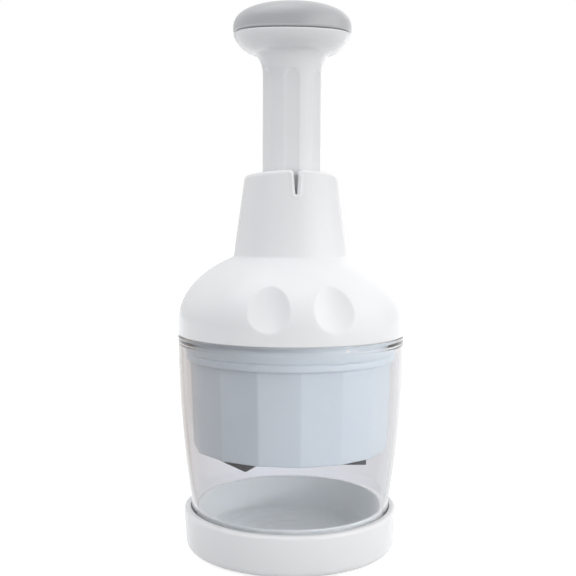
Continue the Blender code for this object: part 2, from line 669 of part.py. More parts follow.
def make_housing_screws(housing):
    mesh = screw_mesh("housing_screw", HOUSING_SCREW)
    z = BAYONET_TOP_Z - BAYONET_FLANGE - SEAT_GAP
    for i, (x, y) in enumerate(around(HOUSING_SCREWS, HOUSING_SCREW_CIRCLE, math.pi / HOUSING_SCREWS)):
        add_object(f"housing_screw_{i + 1}", mesh, steel(), housing, (x, y, z))
    mesh = screw_mesh("cam_screw", CAM_SCREW)
    for i, (x, y) in enumerate(around(CAM_SCREWS, CAM_SCREW_CIRCLE)):
        add_object(f"cam_screw_{i + 1}", mesh, steel(), housing, (x, y, CAM_NUT_Z - SEAT_GAP))


def facet(angle, radius, z):
    """Share of its radius that a point of the guard keeps where its wall is sixteen-sided."""
    if z > RIDGE_Z - GUARD_FILLET or radius < (LIP_HOLE_RADIUS + GUARD_FOOT_INNER) / 2:
        return 1
    side = TAU / GUARD_SIDES
    return FACET_SHARE / math.cos(angle % side - side / 2)


def make_guard(guard):
    facet_top_z = RIDGE_Z - GUARD_FILLET
    under_lip_z = GUARD_TOP_Z - GUARD_LIP
    wall_inner = GUARD_RADIUS - GUARD_WALL
    floor_z = GUARD_Z + GUARD_LIP
    outline = [(LIP_HOLE_RADIUS, GUARD_Z), (FACET_FOOT_RADIUS - GUARD_FILLET, GUARD_Z)]
    outline += [(FACET_FOOT_RADIUS, GUARD_Z + GUARD_FILLET), (FACET_TOP_RADIUS, facet_top_z)]
    outline += [(GUARD_RADIUS, RIDGE_Z), (GUARD_RADIUS, RIDGE_TOP_Z - GUARD_GROOVE)]
    outline += [(GUARD_RADIUS - GUARD_GROOVE, RIDGE_TOP_Z), (GUARD_RADIUS, RIDGE_TOP_Z + GUARD_GROOVE)]
    outline += [(GUARD_RADIUS, GUARD_TOP_Z), (BAYONET_RADIUS + RUN_GAP, GUARD_TOP_Z)]
    outline += [(BAYONET_RADIUS + RUN_GAP, under_lip_z), (wall_inner, under_lip_z)]
    outline += [(wall_inner, RIDGE_TOP_Z - GUARD_GROOVE), (FACET_TOP_RADIUS - GUARD_WALL, facet_top_z)]
    outline += [(GUARD_FOOT_INNER, floor_z), (LIP_HOLE_RADIUS, floor_z)]
    shell = add_object("splash_guard", turned("splash_guard", outline, WIDE_STEPS, facet), milky(), guard)
    inner = BAYONET_RADIUS - SEAT_GAP
    outer = BAYONET_RADIUS + BAYONET_TAB_REACH + SEAT_GAP
    low = under_lip_z - SEAT_GAP
    high = GUARD_TOP_Z + OVERRUN
    gap = [(inner, low), (outer, low), (outer, high), (inner, high)]
    for i in range(BAYONET_TABS):
        middle = TAU * i / BAYONET_TABS - GUARD_TWIST
        mesh = sector(f"lip_gap_{i + 1}", gap, middle, BAYONET_NOTCH_ANGLE, 4)
        boolean(shell, cutter(f"lip_gap_{i + 1}", mesh, guard), "DIFFERENCE")


def flute(angle, radius, z):
    """Share of its radius that a point of the stem's outside keeps: six long flat-bottomed flutes."""
    if radius < (STEM_BORE + STEM_RADIUS) / 2 or not STEM_END_Z + FLUTE_WIDTH < z < STEM_TOP + SEAT_GAP:
        return 1
    pitch = TAU / FLUTES
    from_middle = abs((angle + math.pi / 2 - FLUTE_TURN + pitch / 2) % pitch - pitch / 2)
    if from_middle * STEM_RADIUS > FLUTE_WIDTH / 2:
        return 1
    return 1 - FLUTE_DEPTH / radius


def make_handle(plunger):
    end_radius = STEM_RADIUS - STEM_END_STEP
    bowl = KNOB_RADIUS - KNOB_WALL
    pocket = NUT_RADIUS + RUN_GAP
    flute_foot = STEM_END_Z + FLUTE_WIDTH
    outline = [(STEM_BORE, STEM_Z), (end_radius, STEM_Z), (end_radius, STEM_END_Z)]
    outline += [(STEM_RADIUS, STEM_END_Z), (STEM_RADIUS, flute_foot), (STEM_RADIUS, flute_foot + FLUTE_DEPTH)]
    outline += [(STEM_RADIUS, STEM_TOP)]
    sweep_z = STEM_TOP + FLUTE_DEPTH
    sweep = (KNOB_WAIST_RADIUS - STEM_RADIUS, KNOB_SWEEP_HEIGHT - FLUTE_DEPTH)
    belly = (KNOB_RADIUS - KNOB_WAIST_RADIUS, KNOB_BELLY_HEIGHT)
    outline += arc((KNOB_WAIST_RADIUS, sweep_z), sweep, 180, 90, 4, KNOB_SWEEP_ROUNDNESS)
    outline += arc((KNOB_WAIST_RADIUS, RIM_Z), belly, -90, 0, 5, KNOB_BELLY_ROUNDNESS)[1:]
    outline += [(bowl, RIM_Z), (bowl, BOWL_Z), (pocket, BOWL_Z), (pocket, POCKET_Z), (ROD_RUN, POCKET_Z)]
    outline += [(ROD_RUN, SPRING_STOP_Z), (STEM_BORE, SPRING_STOP_Z)]
    add_object("handle", turned("handle", outline, STEM_STEPS, flute), white(), plunger)


def cap_outline(radius, rise, low, edge, steps):
    """Outside of the cap from its rim to its crown: a short upright edge, then a rounded-off dome."""
    points = [(radius, low)]
    for step in range(steps + 1):
        angle = math.pi / 2 * step / steps
        across = math.cos(angle) ** (2 / CAP_ROUNDNESS)
        up = math.sin(angle) ** (2 / CAP_ROUNDNESS)
        points.append((radius * across if step < steps else 0, low + edge + (rise - edge) * up))
    return points


def make_cap(plunger):
    outer = cap_outline(KNOB_RADIUS, CAP_HEIGHT, CAP_Z, CAP_EDGE, 7)
    inner_radius = KNOB_RADIUS - KNOB_WALL
    inner = cap_outline(inner_radius, CAP_HEIGHT - CAP_WALL, CAP_Z, CAP_EDGE, 4)
    mesh = turned("grip_cap", inner[::-1] + outer, KNOB_STEPS)
    add_object("grip_cap", mesh, soft_grey(), plunger)
    core_radius = inner_radius - SEAT_GAP
    core_rise = CAP_HEIGHT - CAP_WALL - SEAT_GAP
    core = [(0, BOWL_Z + SEAT_GAP), (core_radius, BOWL_Z + SEAT_GAP)]
    core += cap_outline(core_radius, core_rise, CAP_Z, CAP_EDGE, 4)
    add_object("cap_core", turned("cap_core", core, TUBE_STEPS), white(), plunger)


def make_stop_ring(plunger):
    low = STOP_TOP_Z - STOP_RING_HEIGHT
    outline = [(STOP_RING_INNER, low), (STOP_RING_RADIUS, low), (STOP_RING_RADIUS, STOP_TOP_Z - SEAT_GAP)]
    outline += [(STOP_RING_INNER, STOP_TOP_Z - SEAT_GAP)]
    add_object("stop_ring", turned("stop_ring", outline, TUBE_STEPS), milky(), plunger)


def make_push_rod(plunger):
    top = POCKET_Z + SEAT_GAP + NUT_HEIGHT + ROD_SHOWS
    hole = ROD_SCREW[2] + SEAT_GAP
    hole_top = HUB_Z + ROD_SCREW[3]
    collar = STEM_BORE - RUN_GAP
    shoulder = HUB_TOP_Z + SEAT_GAP
    outline = [(0, hole_top), (hole, hole_top), (hole, HUB_Z), (ROD_JOURNAL, HUB_Z), (ROD_JOURNAL, shoulder)]
    outline += [(ROD_RADIUS, shoulder), (ROD_RADIUS, COLLAR_Z), (collar, COLLAR_Z)]
    outline += [(collar, COLLAR_Z + ROD_COLLAR), (ROD_TOP_RADIUS, COLLAR_Z + ROD_COLLAR)]
    outline += [(ROD_TOP_RADIUS, top - ROD_SHOWS), (ROD_TOP_RADIUS - ROD_SHOWS, top), (0, top)]
    add_object("push_rod", turned("push_rod", outline, ROD_STEPS), steel(), plunger)
    low = POCKET_Z + SEAT_GAP
    outline = [(ROD_RUN, low), (NUT_RADIUS, low), (NUT_RADIUS, low + NUT_HEIGHT), (ROD_RUN, low + NUT_HEIGHT)]
    mesh = turned("rod_nut", outline, TUBE_STEPS, hexagon)
    add_object("rod_nut", mesh, steel(), plunger)


def hexagon(angle, radius, z):
    """Share of its radius that a point of the nut's outside keeps."""
    if radius < (ROD_RUN + NUT_RADIUS) / 2:
        return 1
    side = TAU / 6
    return math.cos(side / 2) / math.cos(angle % side - side / 2)


def make_spring(housing):
    """Coil of round wire with a closed turn at each end."""
    low = SLEEVE_FLOOR_Z + SEAT_GAP
    inner = HUB_RADIUS + RUN_GAP
    outer = STEM_BORE - RUN_GAP
    seat = [(inner, low), (outer, low), (outer, low + SPRING_SEAT), (inner, low + SPRING_SEAT)]
    add_object("spring_seat", turned("spring_seat", seat, TUBE_STEPS), steel(), housing)
    end_pitch = SPRING_WIRE * SPRING_END_SHARE
    start = SPRING_Z + SPRING_WIRE / 2
    span = SPRING_TOP_Z - SPRING_Z - SPRING_WIRE
    middle_pitch = (span - 2 * end_pitch) / (SPRING_TURNS - 2)
    curve = bpy.data.curves.new("return_spring", "CURVE")
    curve.dimensions = "3D"
    curve.bevel_depth = SPRING_WIRE / 2
    curve.bevel_resolution = 1
    curve.use_fill_caps = True
    points = []
    for step in range(SPRING_TURNS * SPRING_STEPS + 1):
        turn = step / SPRING_STEPS
        middle_turns = min(max(turn - 1, 0), SPRING_TURNS - 2)
        z = start + end_pitch * (turn - middle_turns) + middle_pitch * middle_turns
        points.append((SPRING_RADIUS * math.cos(TAU * turn), SPRING_RADIUS * math.sin(TAU * turn), z))
    spline = curve.splines.new("POLY")
    spline.points.add(len(points) - 1)
    for point, place in zip(spline.points, points):
        point.co = (*place, 1)
    add_object_from_curve("return_spring", curve, steel(), housing)


def add_object_from_curve(name, curve, material, parent):
    obj = bpy.data.objects.new(name, curve)
    curve.materials.append(material)
    obj.parent = parent
    bpy.context.collection.objects.link(obj)


def groove_angle(z):
    """Where a groove of the hub stands at a height, so that the nibs stay in it through the stroke."""
    nib_z = (CAM_NUT_Z + CAM_NUT_TOP_Z) / 2
    return math.pi / 2 - BLADE_TURN * (z - nib_z) / PRESS_TRAVEL


def make_hub(rotor):
    """Hub with two helical grooves that the cam nut's nibs run in, and a flange for the carrier."""
    floor = HUB_RADIUS - HUB_GROOVE_DEPTH
    edge = math.asin(HUB_GROOVE_WIDTH / 2 / HUB_RADIUS)
    corner = math.asin(HUB_GROOVE_WIDTH / 2 / floor)
    land_steps = 5
    half = [(-edge, HUB_RADIUS), (-corner, floor), (0, floor), (corner, floor)]
    half += [(edge + (math.pi - 2 * edge) * i / land_steps, HUB_RADIUS) for i in range(land_steps)]
    section = half + [(angle + math.pi, radius) for angle, radius in half]
    bm = bmesh.new()
    loops = []
    low = HUB_Z + HUB_FLANGE / 2
    for level in range(HUB_LEVELS + 1):
        z = low + (HUB_TOP_Z - low) * level / HUB_LEVELS
        turn = groove_angle(z)
        loops.append([bm.verts.new((r * math.cos(a + turn), r * math.sin(a + turn), z)) for a, r in section])
    for first, second in zip(loops, loops[1:]):
        for i in range(len(section)):
            j = (i + 1) % len(section)
            bm.faces.new((first[i], first[j], second[j], second[i]))
    bm.faces.new(loops[0])
    bm.faces.new(loops[-1])
    hub = add_object("rotor_hub", mesh_from(bm, "rotor_hub"), milky(), rotor)
    flange = rod("hub_flange", HUB_FLANGE_RADIUS, HUB_Z, HUB_FLANGE_TOP_Z, TUBE_STEPS)
    boolean(hub, cutter("hub_flange", flange, rotor), "UNION")
    bore = rod("hub_bore", HUB_BORE, HUB_Z - OVERRUN, HUB_TOP_Z + OVERRUN, ROD_STEPS)
    boolean(hub, cutter("hub_bore", bore, rotor), "DIFFERENCE")
    drill_carrier_holes(hub, "hub_screw_hole", rotor)


def drill_carrier_holes(obj, name, rotor):
    mesh = rod(name, CARRIER_SCREW[2] + SEAT_GAP, CARRIER_Z - OVERRUN, HUB_FLANGE_TOP_Z + OVERRUN, SCREW_STEPS)
    for i, (x, y) in enumerate(around(CARRIER_SCREWS, CARRIER_SCREW_CIRCLE)):
        boolean(obj, cutter(f"{name}_{i + 1}", mesh, rotor, (x, y, 0), HOLE_TURN), "DIFFERENCE")


def fold_points(side, longer):
    """Folds of one strip in plan, its ends made longer by a length; side is 1 in front and -1 behind."""
    points = [(side * x * CARRIER_RADIUS, side * y * CARRIER_RADIUS) for x, y in FOLD_SHARES]
    for end, inner in ((0, 1), (-1, -2)):
        dx = points[end][0] - points[inner][0]
        dy = points[end][1] - points[inner][1]
        scale = longer / math.hypot(dx, dy)
        points[end] = (points[end][0] + dx * scale, points[end][1] + dy * scale)
    return points


def strip_mesh(name, side, rows):
    """Folded sheet, from (height, extra length) rows; each row spans the whole strip."""
    bm = bmesh.new()
    grid = [[bm.verts.new((x, y, z)) for x, y in fold_points(side, longer)] for z, longer in rows]
    for low, high in zip(grid, grid[1:]):
        for i in range(len(low) - 1):
            bm.faces.new((low[i], low[i + 1], high[i + 1], high[i]))
    mesh = bpy.data.meshes.new(name)
    bm.to_mesh(mesh)
    bm.free()
    return mesh


def thicken(obj, thickness):
    modifier = obj.modifiers.new("thickness", "SOLIDIFY")
    modifier.thickness = thickness
    modifier.offset = 0
    modifier.use_even_offset = True
    return modifier


def make_blades(rotor):
    ear_z = CARRIER_TOP_Z - BLADE_EAR_HEIGHT
    rows = [(BLADE_Z, 0), (BLADE_Z + BLADE_SHARP, 0), (ear_z - SEAT_GAP, 0), (ear_z, BLADE_EAR)]
    rows += [(CARRIER_TOP_Z, BLADE_EAR)]
    for name, side in (("blade_a", 1), ("blade_b", -1)):
        blade = add_object(name, strip_mesh(name, side, rows), steel(), rotor)
        group = blade.vertex_groups.new(name="thickness")
        count = len(FOLD_SHARES)
        group.add(range(count), BLADE_EDGE_SHARE, "REPLACE")
        group.add(range(count, count * len(rows)), 1, "REPLACE")
        thicken(blade, BLADE_THICK).vertex_group = group.name


def cut_blade_slots(obj, name, low, high, gap, longer, rotor):
    """Slots for both strips from one height to another, with a gap on each side and longer ends."""
    for i, side in enumerate((1, -1)):
        slot = cutter(f"{name}_{i + 1}", strip_mesh(name, side, [(low, longer), (high, longer)]), rotor)
        thicken(slot, BLADE_THICK + 2 * gap)
        boolean(obj, slot, "DIFFERENCE", "MANIFOLD")


def make_carrier(rotor):
    outline = [(CARRIER_HOLE, CARRIER_Z), (CARRIER_RADIUS, CARRIER_Z), (CARRIER_RADIUS, CARRIER_TOP_Z)]
    outline += [(CARRIER_HOLE, CARRIER_TOP_Z)]
    carrier = add_object("blade_carrier", turned("blade_carrier", outline, KNOB_STEPS), white(), rotor)
    drill_carrier_holes(carrier, "carrier_hole", rotor)
    ledge_z = CARRIER_TOP_Z - BLADE_EAR_HEIGHT - 2 * SEAT_GAP
    low = CARRIER_Z - OVERRUN
    high = CARRIER_TOP_Z + OVERRUN
    cut_blade_slots(carrier, "carrier_slot", low, high, BLADE_SLOT_GAP, BLADE_SLOT_GAP, rotor)
    wider = BLADE_SLOT_GAP + SEAT_GAP
    cut_blade_slots(carrier, "carrier_ledge", ledge_z, high, wider, wider + BLADE_EAR, rotor)


def make_rotor_screws(rotor):
    mesh = screw_mesh("carrier_screw", CARRIER_SCREW)
    for i, (x, y) in enumerate(around(CARRIER_SCREWS, CARRIER_SCREW_CIRCLE)):
        place = (x, y, HUB_FLANGE_TOP_Z + SEAT_GAP)
        screw = add_object(f"carrier_screw_{i + 1}", mesh, steel(), rotor, place)
        screw.rotation_euler.x = math.pi
    washer_z = HUB_Z - SEAT_GAP - WASHER_THICK
    hole = ROD_SCREW[2] + SEAT_GAP
    outline = [(hole, washer_z), (WASHER_RADIUS, washer_z), (WASHER_RADIUS, washer_z + WASHER_THICK)]
    outline += [(hole, washer_z + WASHER_THICK)]
    add_object("thrust_washer", turned("thrust_washer", outline, ROD_STEPS), steel(), rotor)
    mesh = screw_mesh("rod_screw", ROD_SCREW)
    add_object("rod_screw", mesh, steel(), rotor, (0, 0, washer_z - SEAT_GAP))


def make_wiper(wiper):
    mesh = rod("wiper_plate", WIPER_RADIUS, WIPER_Z, WIPER_TOP_Z, WIDE_STEPS)
    plate = add_object("wiper_plate", mesh, white(), wiper)
    low = WIPER_Z - OVERRUN
    high = WIPER_TOP_Z + OVERRUN
    cut_blade_slots(plate, "wiper_slot", low, high, BLADE_SLOT_GAP, BLADE_SLOT_GAP, wiper)


def main():
    clear_scene()
    base = body("base_body")
    cup = body("cup_body")
    housing = body("housing_body")
    guard = body("guard_body")
    plunger = body("plunger_body")
    rotor = body("rotor_body")
    wiper = body("wiper_body")
    make_foot_ring(base)
    make_dish(base)
    make_tray(base)
    make_cup(cup)
    make_housing(housing)
    make_sleeve(housing)
    make_bayonet_ring(housing)
    make_cam_nut(housing)
    make_housing_screws(housing)
    make_guard(guard)
    make_handle(plunger)
    make_cap(plunger)
    make_stop_ring(plunger)
    make_push_rod(plunger)
    make_spring(housing)
    make_hub(rotor)
    make_blades(rotor)
    make_carrier(rotor)
    make_rotor_screws(rotor)
    make_wiper(wiper)


main()
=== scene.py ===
# Hand food chopper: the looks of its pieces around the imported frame, with a pale studio and the camera.
import functools
from math import acos, ceil, copysign, cos, degrees, exp, hypot, pi, radians, sin, sqrt, tan

import bmesh
import bpy
from mathutils import Matrix, Vector


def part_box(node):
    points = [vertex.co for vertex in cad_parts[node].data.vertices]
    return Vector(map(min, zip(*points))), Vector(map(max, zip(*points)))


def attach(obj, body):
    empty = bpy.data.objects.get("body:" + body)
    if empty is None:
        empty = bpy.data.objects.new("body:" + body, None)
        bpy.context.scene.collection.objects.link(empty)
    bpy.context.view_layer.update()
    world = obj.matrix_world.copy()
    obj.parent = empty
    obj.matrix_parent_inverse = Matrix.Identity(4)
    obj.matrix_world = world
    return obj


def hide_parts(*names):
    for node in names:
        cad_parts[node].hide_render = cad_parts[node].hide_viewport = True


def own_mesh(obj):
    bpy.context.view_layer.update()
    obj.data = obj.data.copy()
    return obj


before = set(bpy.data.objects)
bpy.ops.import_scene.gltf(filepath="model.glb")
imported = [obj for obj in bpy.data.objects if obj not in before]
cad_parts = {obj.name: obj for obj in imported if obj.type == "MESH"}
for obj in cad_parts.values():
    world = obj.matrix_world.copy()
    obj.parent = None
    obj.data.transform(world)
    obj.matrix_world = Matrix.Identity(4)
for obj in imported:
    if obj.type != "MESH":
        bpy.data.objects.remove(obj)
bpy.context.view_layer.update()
mm = 0.001
fullTurn = 2 * pi
weld = 0.001 * mm  # points closer than this become one
crisp, eased, soft, ample = 0.3 * mm, 0.4 * mm, 0.6 * mm, 0.8 * mm  # edge roundings that the mouldings share
print("frame loaded")


# ways to build nodes, for materials and for geometry alike

def feed(tree, item, inputs):
    # sets each named socket to its value, or links it where the value is a socket
    for name, value in inputs.items():
        if isinstance(value, bpy.types.NodeSocket):
            tree.links.new(value, item.inputs[name])
        else:
            item.inputs[name].default_value = value


def addNode(tree, kind, inputs=None, **settings):
    item = tree.nodes.new(kind)
    for name, value in settings.items():
        setattr(item, name, value)
    feed(tree, item, inputs or {})
    return item.outputs


def calc(tree, operation, first, second=0.0, third=0.0):
    return addNode(tree, "ShaderNodeMath", {0: first, 1: second, 2: third}, operation=operation)[0]


def aroundAxis(tree, radius, angle, z):
    x, y = [calc(tree, "MULTIPLY", radius, calc(tree, way, angle)) for way in ("COSINE", "SINE")]
    return addNode(tree, "ShaderNodeCombineXYZ", {"X": x, "Y": y, "Z": z})[0]


def newGroup(name, kind, inputs, outputs):
    # an empty node group; an input has a number to start from, or else the name of what it takes
    kinds = {int: "Int", float: "Float", tuple: "Vector"}
    group = bpy.data.node_groups.new(name, kind)
    for label, value in inputs.items():
        kind = kinds.get(type(value), value)
        socket = group.interface.new_socket(label, in_out="INPUT", socket_type=f"NodeSocket{kind}")
        if kind != value:
            socket.default_value = value
    for label, kind in outputs.items():
        group.interface.new_socket(label, in_out="OUTPUT", socket_type=f"NodeSocket{kind}")
    return group, group.nodes.new("NodeGroupInput").outputs, group.nodes.new("NodeGroupOutput")


# shader groups that several materials share

def makeMouldSkin():
    # fine grain, faint flow marks and light handling scuffs of a moulded surface
    inputs = {"Grain Scale": 900.0, "Flow Scale": 22.0, "Scuff Scale": 160.0}
    outputs = {"Height": "Float", "Flow": "Float", "Scuff": "Float"}
    group, given, out = newGroup("mouldSkin", "ShaderNodeTree", inputs, outputs)
    spot = addNode(group, "ShaderNodeTexCoord")["Object"]
    grain = addNode(group, "ShaderNodeTexNoise", {
        "Vector": spot, "Scale": given["Grain Scale"], "Detail": 2.0, "Roughness": 0.5})
    flow = addNode(group, "ShaderNodeTexNoise", {
        "Vector": spot, "Scale": given["Flow Scale"], "Detail": 1.0, "Distortion": 0.6})
    slanted = addNode(group, "ShaderNodeMapping", {
        "Vector": spot, "Rotation": (0.5, 0.9, 0.3), "Scale": (1.0, 7.0, 1.0)})
    scratch = addNode(group, "ShaderNodeTexNoise", {
        "Vector": slanted[0], "Scale": given["Scuff Scale"], "Detail": 4.0, "Roughness": 0.7})
    scuff = addNode(group, "ShaderNodeMapRange", {
        "Value": scratch["Fac"], "From Min": 0.52, "From Max": 0.78})
    feed(group, out, {"Height": grain["Fac"], "Flow": flow["Fac"], "Scuff": scuff["Result"]})
    return group


def makeDrawnSteel():
    # drawing and grinding lines that run one way, with dull spots between them
    inputs = {"Line Scale": 700.0, "Stretch": (1.0, 1.0, 0.06)}
    group, given, out = newGroup("drawnSteel", "ShaderNodeTree", inputs, {"Height": "Float", "Dull": "Float"})
    spot = addNode(group, "ShaderNodeTexCoord")["Object"]
    drawn = addNode(group, "ShaderNodeMapping", {"Vector": spot, "Scale": given["Stretch"]})
    lines = addNode(group, "ShaderNodeTexNoise", {
        "Vector": drawn[0], "Scale": given["Line Scale"], "Detail": 3.0})
    dull = addNode(group, "ShaderNodeTexNoise", {"Vector": spot, "Scale": 90.0, "Detail": 2.0})
    feed(group, out, {"Height": lines["Fac"], "Dull": dull["Fac"]})
    return group


mouldSkin = makeMouldSkin()
drawnSteel = makeDrawnSteel()


# materials: colours are linear, depths in metres, scales in turns of the pattern per metre

def newMaterial(name):
    material = bpy.data.materials.new(name)
    material.use_nodes = True
    return material, material.node_tree, material.node_tree.nodes["Principled BSDF"]


def blendColour(tree, share, first, second):
    inputs = {"Factor": share}
    for name, value in (("A", first), ("B", second)):
        inputs[name] = (*value, 1) if isinstance(value, tuple) else value
    return addNode(tree, "ShaderNodeMix", inputs, data_type="RGBA")["Result"]


def blendRoughness(tree, share, look, rougher):
    span = {"Value": share, "To Min": look["roughness"], "To Max": look[rougher]}
    return addNode(tree, "ShaderNodeMapRange", span)["Result"]


def addSkin(tree, look):
    return addNode(tree, "ShaderNodeGroup", {
        "Grain Scale": look["grainScale"], "Flow Scale": look["flowScale"],
        "Scuff Scale": look["scuffScale"]}, node_tree=mouldSkin)


def addBump(tree, height, look, part):
    return addNode(tree, "ShaderNodeBump", {
        "Height": height, "Distance": look[f"{part}Depth"], "Strength": look[f"{part}Strength"]})["Normal"]


def mouldedPlastic(name, look):
    material, tree, shader = newMaterial(name)
    skin = addSkin(tree, look)
    feed(tree, shader, {
        "Base Color": blendColour(tree, skin["Flow"], look["colour"], look["flowColour"]),
        "Roughness": blendRoughness(tree, skin["Scuff"], look, "scuffRoughness"),
        "Normal": addBump(tree, skin["Height"], look, "grain"),
        "IOR": look["ior"], "Specular IOR Level": look["shine"], "Sheen Weight": look["sheen"],
        "Transmission Weight": look["clear"], "Subsurface Weight": look["depthWeight"],
        "Subsurface Radius": look["depthColour"], "Subsurface Scale": look["depth"]})
    return material


mouldedLook = {  # what a moulding has where its own values don't say otherwise
    "roughness": 0.3, "scuffRoughness": 0.36, "grainScale": 600.0, "grainDepth": 0.02 * mm,
    "grainStrength": 0.5,
    "ior": 1.49, "shine": 0.5, "sheen": 0.0, "clear": 0.0,
    "depthWeight": 0.0, "depthColour": (1.0, 1.0, 1.0), "depth": 1 * mm,
}
whiteLook = {
    **mouldedLook, "colour": (0.815, 0.82, 0.832), "flowColour": (0.822, 0.826, 0.836), "roughness": 0.22,
    "scuffRoughness": 0.25, "grainScale": 700.0, "flowScale": 20.0, "scuffScale": 150.0, "ior": 1.5,
    "depthWeight": 0.08, "depthColour": (1.0, 0.95, 0.9), "depth": 1.2 * mm,
}
milkyLook = {
    **mouldedLook, "colour": (0.78, 0.865, 0.945), "flowColour": (0.79, 0.875, 0.955),
    "flowScale": 26.0, "scuffScale": 140.0, "shine": 0.85, "clear": 0.1,
    "depthWeight": 0.25, "depthColour": (0.85, 0.95, 1.0), "depth": 1.5 * mm,
}
trayLook = {
    **mouldedLook, "colour": (0.91, 0.965, 1.0), "flowColour": (0.92, 0.975, 1.0),
    "flowScale": 30.0, "scuffScale": 110.0, "grainDepth": 0.03 * mm, "grainStrength": 0.6,
    "depthWeight": 0.2, "depthColour": (0.85, 0.95, 1.0), "depth": 1.5 * mm,
}
softLook = {
    **mouldedLook, "colour": (0.44, 0.446, 0.46), "flowColour": (0.45, 0.456, 0.47), "roughness": 0.32,
    "scuffRoughness": 0.38, "grainScale": 2400.0, "flowScale": 24.0, "scuffScale": 120.0,
    "grainDepth": 0.03 * mm, "grainStrength": 0.6, "ior": 1.85, "sheen": 0.25,
}
rubberLook = {
    **mouldedLook, "colour": (0.028, 0.028, 0.03), "flowColour": (0.04, 0.04, 0.042), "roughness": 0.62,
    "scuffRoughness": 0.8, "grainScale": 1500.0, "flowScale": 40.0, "scuffScale": 200.0,
    "grainDepth": 0.06 * mm, "grainStrength": 0.8, "ior": 1.5,
}
whitePlastic = mouldedPlastic("whitePlastic", whiteLook)
milkyPlastic = mouldedPlastic("milkyPlastic", milkyLook)
trayPlastic = mouldedPlastic("trayPlastic", trayLook)
softGrey = mouldedPlastic("softGrey", softLook)
darkRubber = mouldedPlastic("darkRubber", rubberLook)


def steelMaterial(name, look):
    material, tree, shader = newMaterial(name)
    lines = addNode(tree, "ShaderNodeGroup", {
        "Line Scale": look["lineScale"], "Stretch": look["stretch"]}, node_tree=drawnSteel)
    feed(tree, shader, {
        "Base Color": blendColour(tree, lines["Dull"], look["colour"], look["dullColour"]),
        "Roughness": blendRoughness(tree, lines["Height"], look, "dullRoughness"),
        "Normal": addBump(tree, lines["Height"], look, "line"), "Metallic": 1.0})
    return material


# the blades' metal colour is painted near black, far darker than plainSteel: a painted dark reflection of the
# surroundings
bladeDarkReflectionLook = {
    "colour": (0.065, 0.07, 0.08), "dullColour": (0.045, 0.05, 0.06), "roughness": 0.14, "dullRoughness": 0.3,
    "lineScale": 1400.0, "stretch": (1.0, 1.0, 0.05), "lineDepth": 0.02 * mm, "lineStrength": 0.6,
}
steelLook = {
    "colour": (0.56, 0.56, 0.58), "dullColour": (0.47, 0.47, 0.48), "roughness": 0.24, "dullRoughness": 0.42,
    "lineScale": 900.0, "stretch": (1.0, 1.0, 1.0), "lineDepth": 0.02 * mm, "lineStrength": 0.6,
}
bladeSteelPaintedDark = steelMaterial("bladeSteelPaintedDark", bladeDarkReflectionLook)
plainSteel = steelMaterial("plainSteel", steelLook)


def clearMaterial(name, look):
    # clear moulding that lets the lamps reach what stands behind it
    material, tree, shader = newMaterial(name)
    skin = addSkin(tree, look)
    feed(tree, shader, {
        "Roughness": blendRoughness(tree, skin["Scuff"], look, "scuffRoughness"),
        "Base Color": (*look["colour"], 1), "IOR": look["ior"], "Transmission Weight": 1.0})
    passing = addNode(tree, "ShaderNodeBsdfTransparent", {"Color": (*look["lampColour"], 1)})
    path = addNode(tree, "ShaderNodeLightPath")
    both = addNode(tree, "ShaderNodeMixShader", {
        0: path["Is Shadow Ray"], 1: shader.outputs[0], 2: passing[0]})
    feed(tree, tree.nodes["Material Output"], {"Surface": both[0]})
    return material


clearLook = {
    "colour": (0.975, 0.975, 0.985), "lampColour": (0.97, 0.97, 0.975), "roughness": 0.02,
    "scuffRoughness": 0.06, "grainScale": 600.0, "flowScale": 18.0, "scuffScale": 120.0, "ior": 1.49,
}
clearPlastic = clearMaterial("clearPlastic", clearLook)
print("materials made")


# turned shapes

def nodeSpan(node):
    # outer radius, lowest and highest point of a turned node of the frame
    low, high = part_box(node)
    return high.x, low.z, high.z


def turnedSpot(angle, radius, z):
    return Vector((radius * cos(angle), radius * sin(angle), z))


def filletPath(corners, closed=True, arcSteps=5):
    # corners are (radius, height, rounding); each rounded corner becomes an arc
    path = []
    last = len(corners) - 1
    for i, (radius, z, rounding) in enumerate(corners):
        here = Vector((radius, z))
        if rounding == 0 or (not closed and i in (0, last)):
            path.append((radius, z))
            continue
        before = Vector(corners[i - 1][:2]) - here
        after = Vector(corners[(i + 1) % len(corners)][:2]) - here
        half = before.angle(after) / 2
        reach = min(rounding / tan(half), before.length * 0.49, after.length * 0.49)
        before.normalize()
        after.normalize()
        middle = here + (before + after).normalized() * reach / cos(half)
        start = here + before * reach - middle
        end = here + after * reach - middle
        for step in range(arcSteps + 1):
            spot = middle + start.slerp(end, step / arcSteps) * start.length
            path.append((spot.x, spot.y))
    return path


def ovalArc(middle, reach, start, end, steps, roundness=2):
    # unrounded corners along an oval's arc, in degrees; the oval is an ellipse when roundness is 2
    corners = []
    for step in range(steps + 1):
        angle = radians(start + (end - start) * step / steps)
        across = copysign(abs(cos(angle)) ** (2 / roundness), cos(angle))
        up = copysign(abs(sin(angle)) ** (2 / roundness), sin(angle))
        corners.append((middle[0] + reach[0] * across, middle[1] + reach[1] * up, 0))
    return corners


def evenAngles(steps):
    return [fullTurn * step / steps for step in range(steps)]


def mixedAngles(coarse, fine):
    # a full turn in coarse steps, with finer ones in (middle, half width, step) ranges, all in degrees
    angles = []
    angle = 0.0
    while angle < 360 - coarse / 4:
        angles.append(radians(angle))
        steps = [small for middle, half, small in fine if abs((angle - middle + 180) % 360 - 180) < half]
        angle += min(steps + [coarse])
    return angles


def shadeSmooth(mesh, sharpAngle=32):
    mesh.shade_smooth()
    mesh.set_sharp_from_angle(angle=radians(sharpAngle))
    return mesh


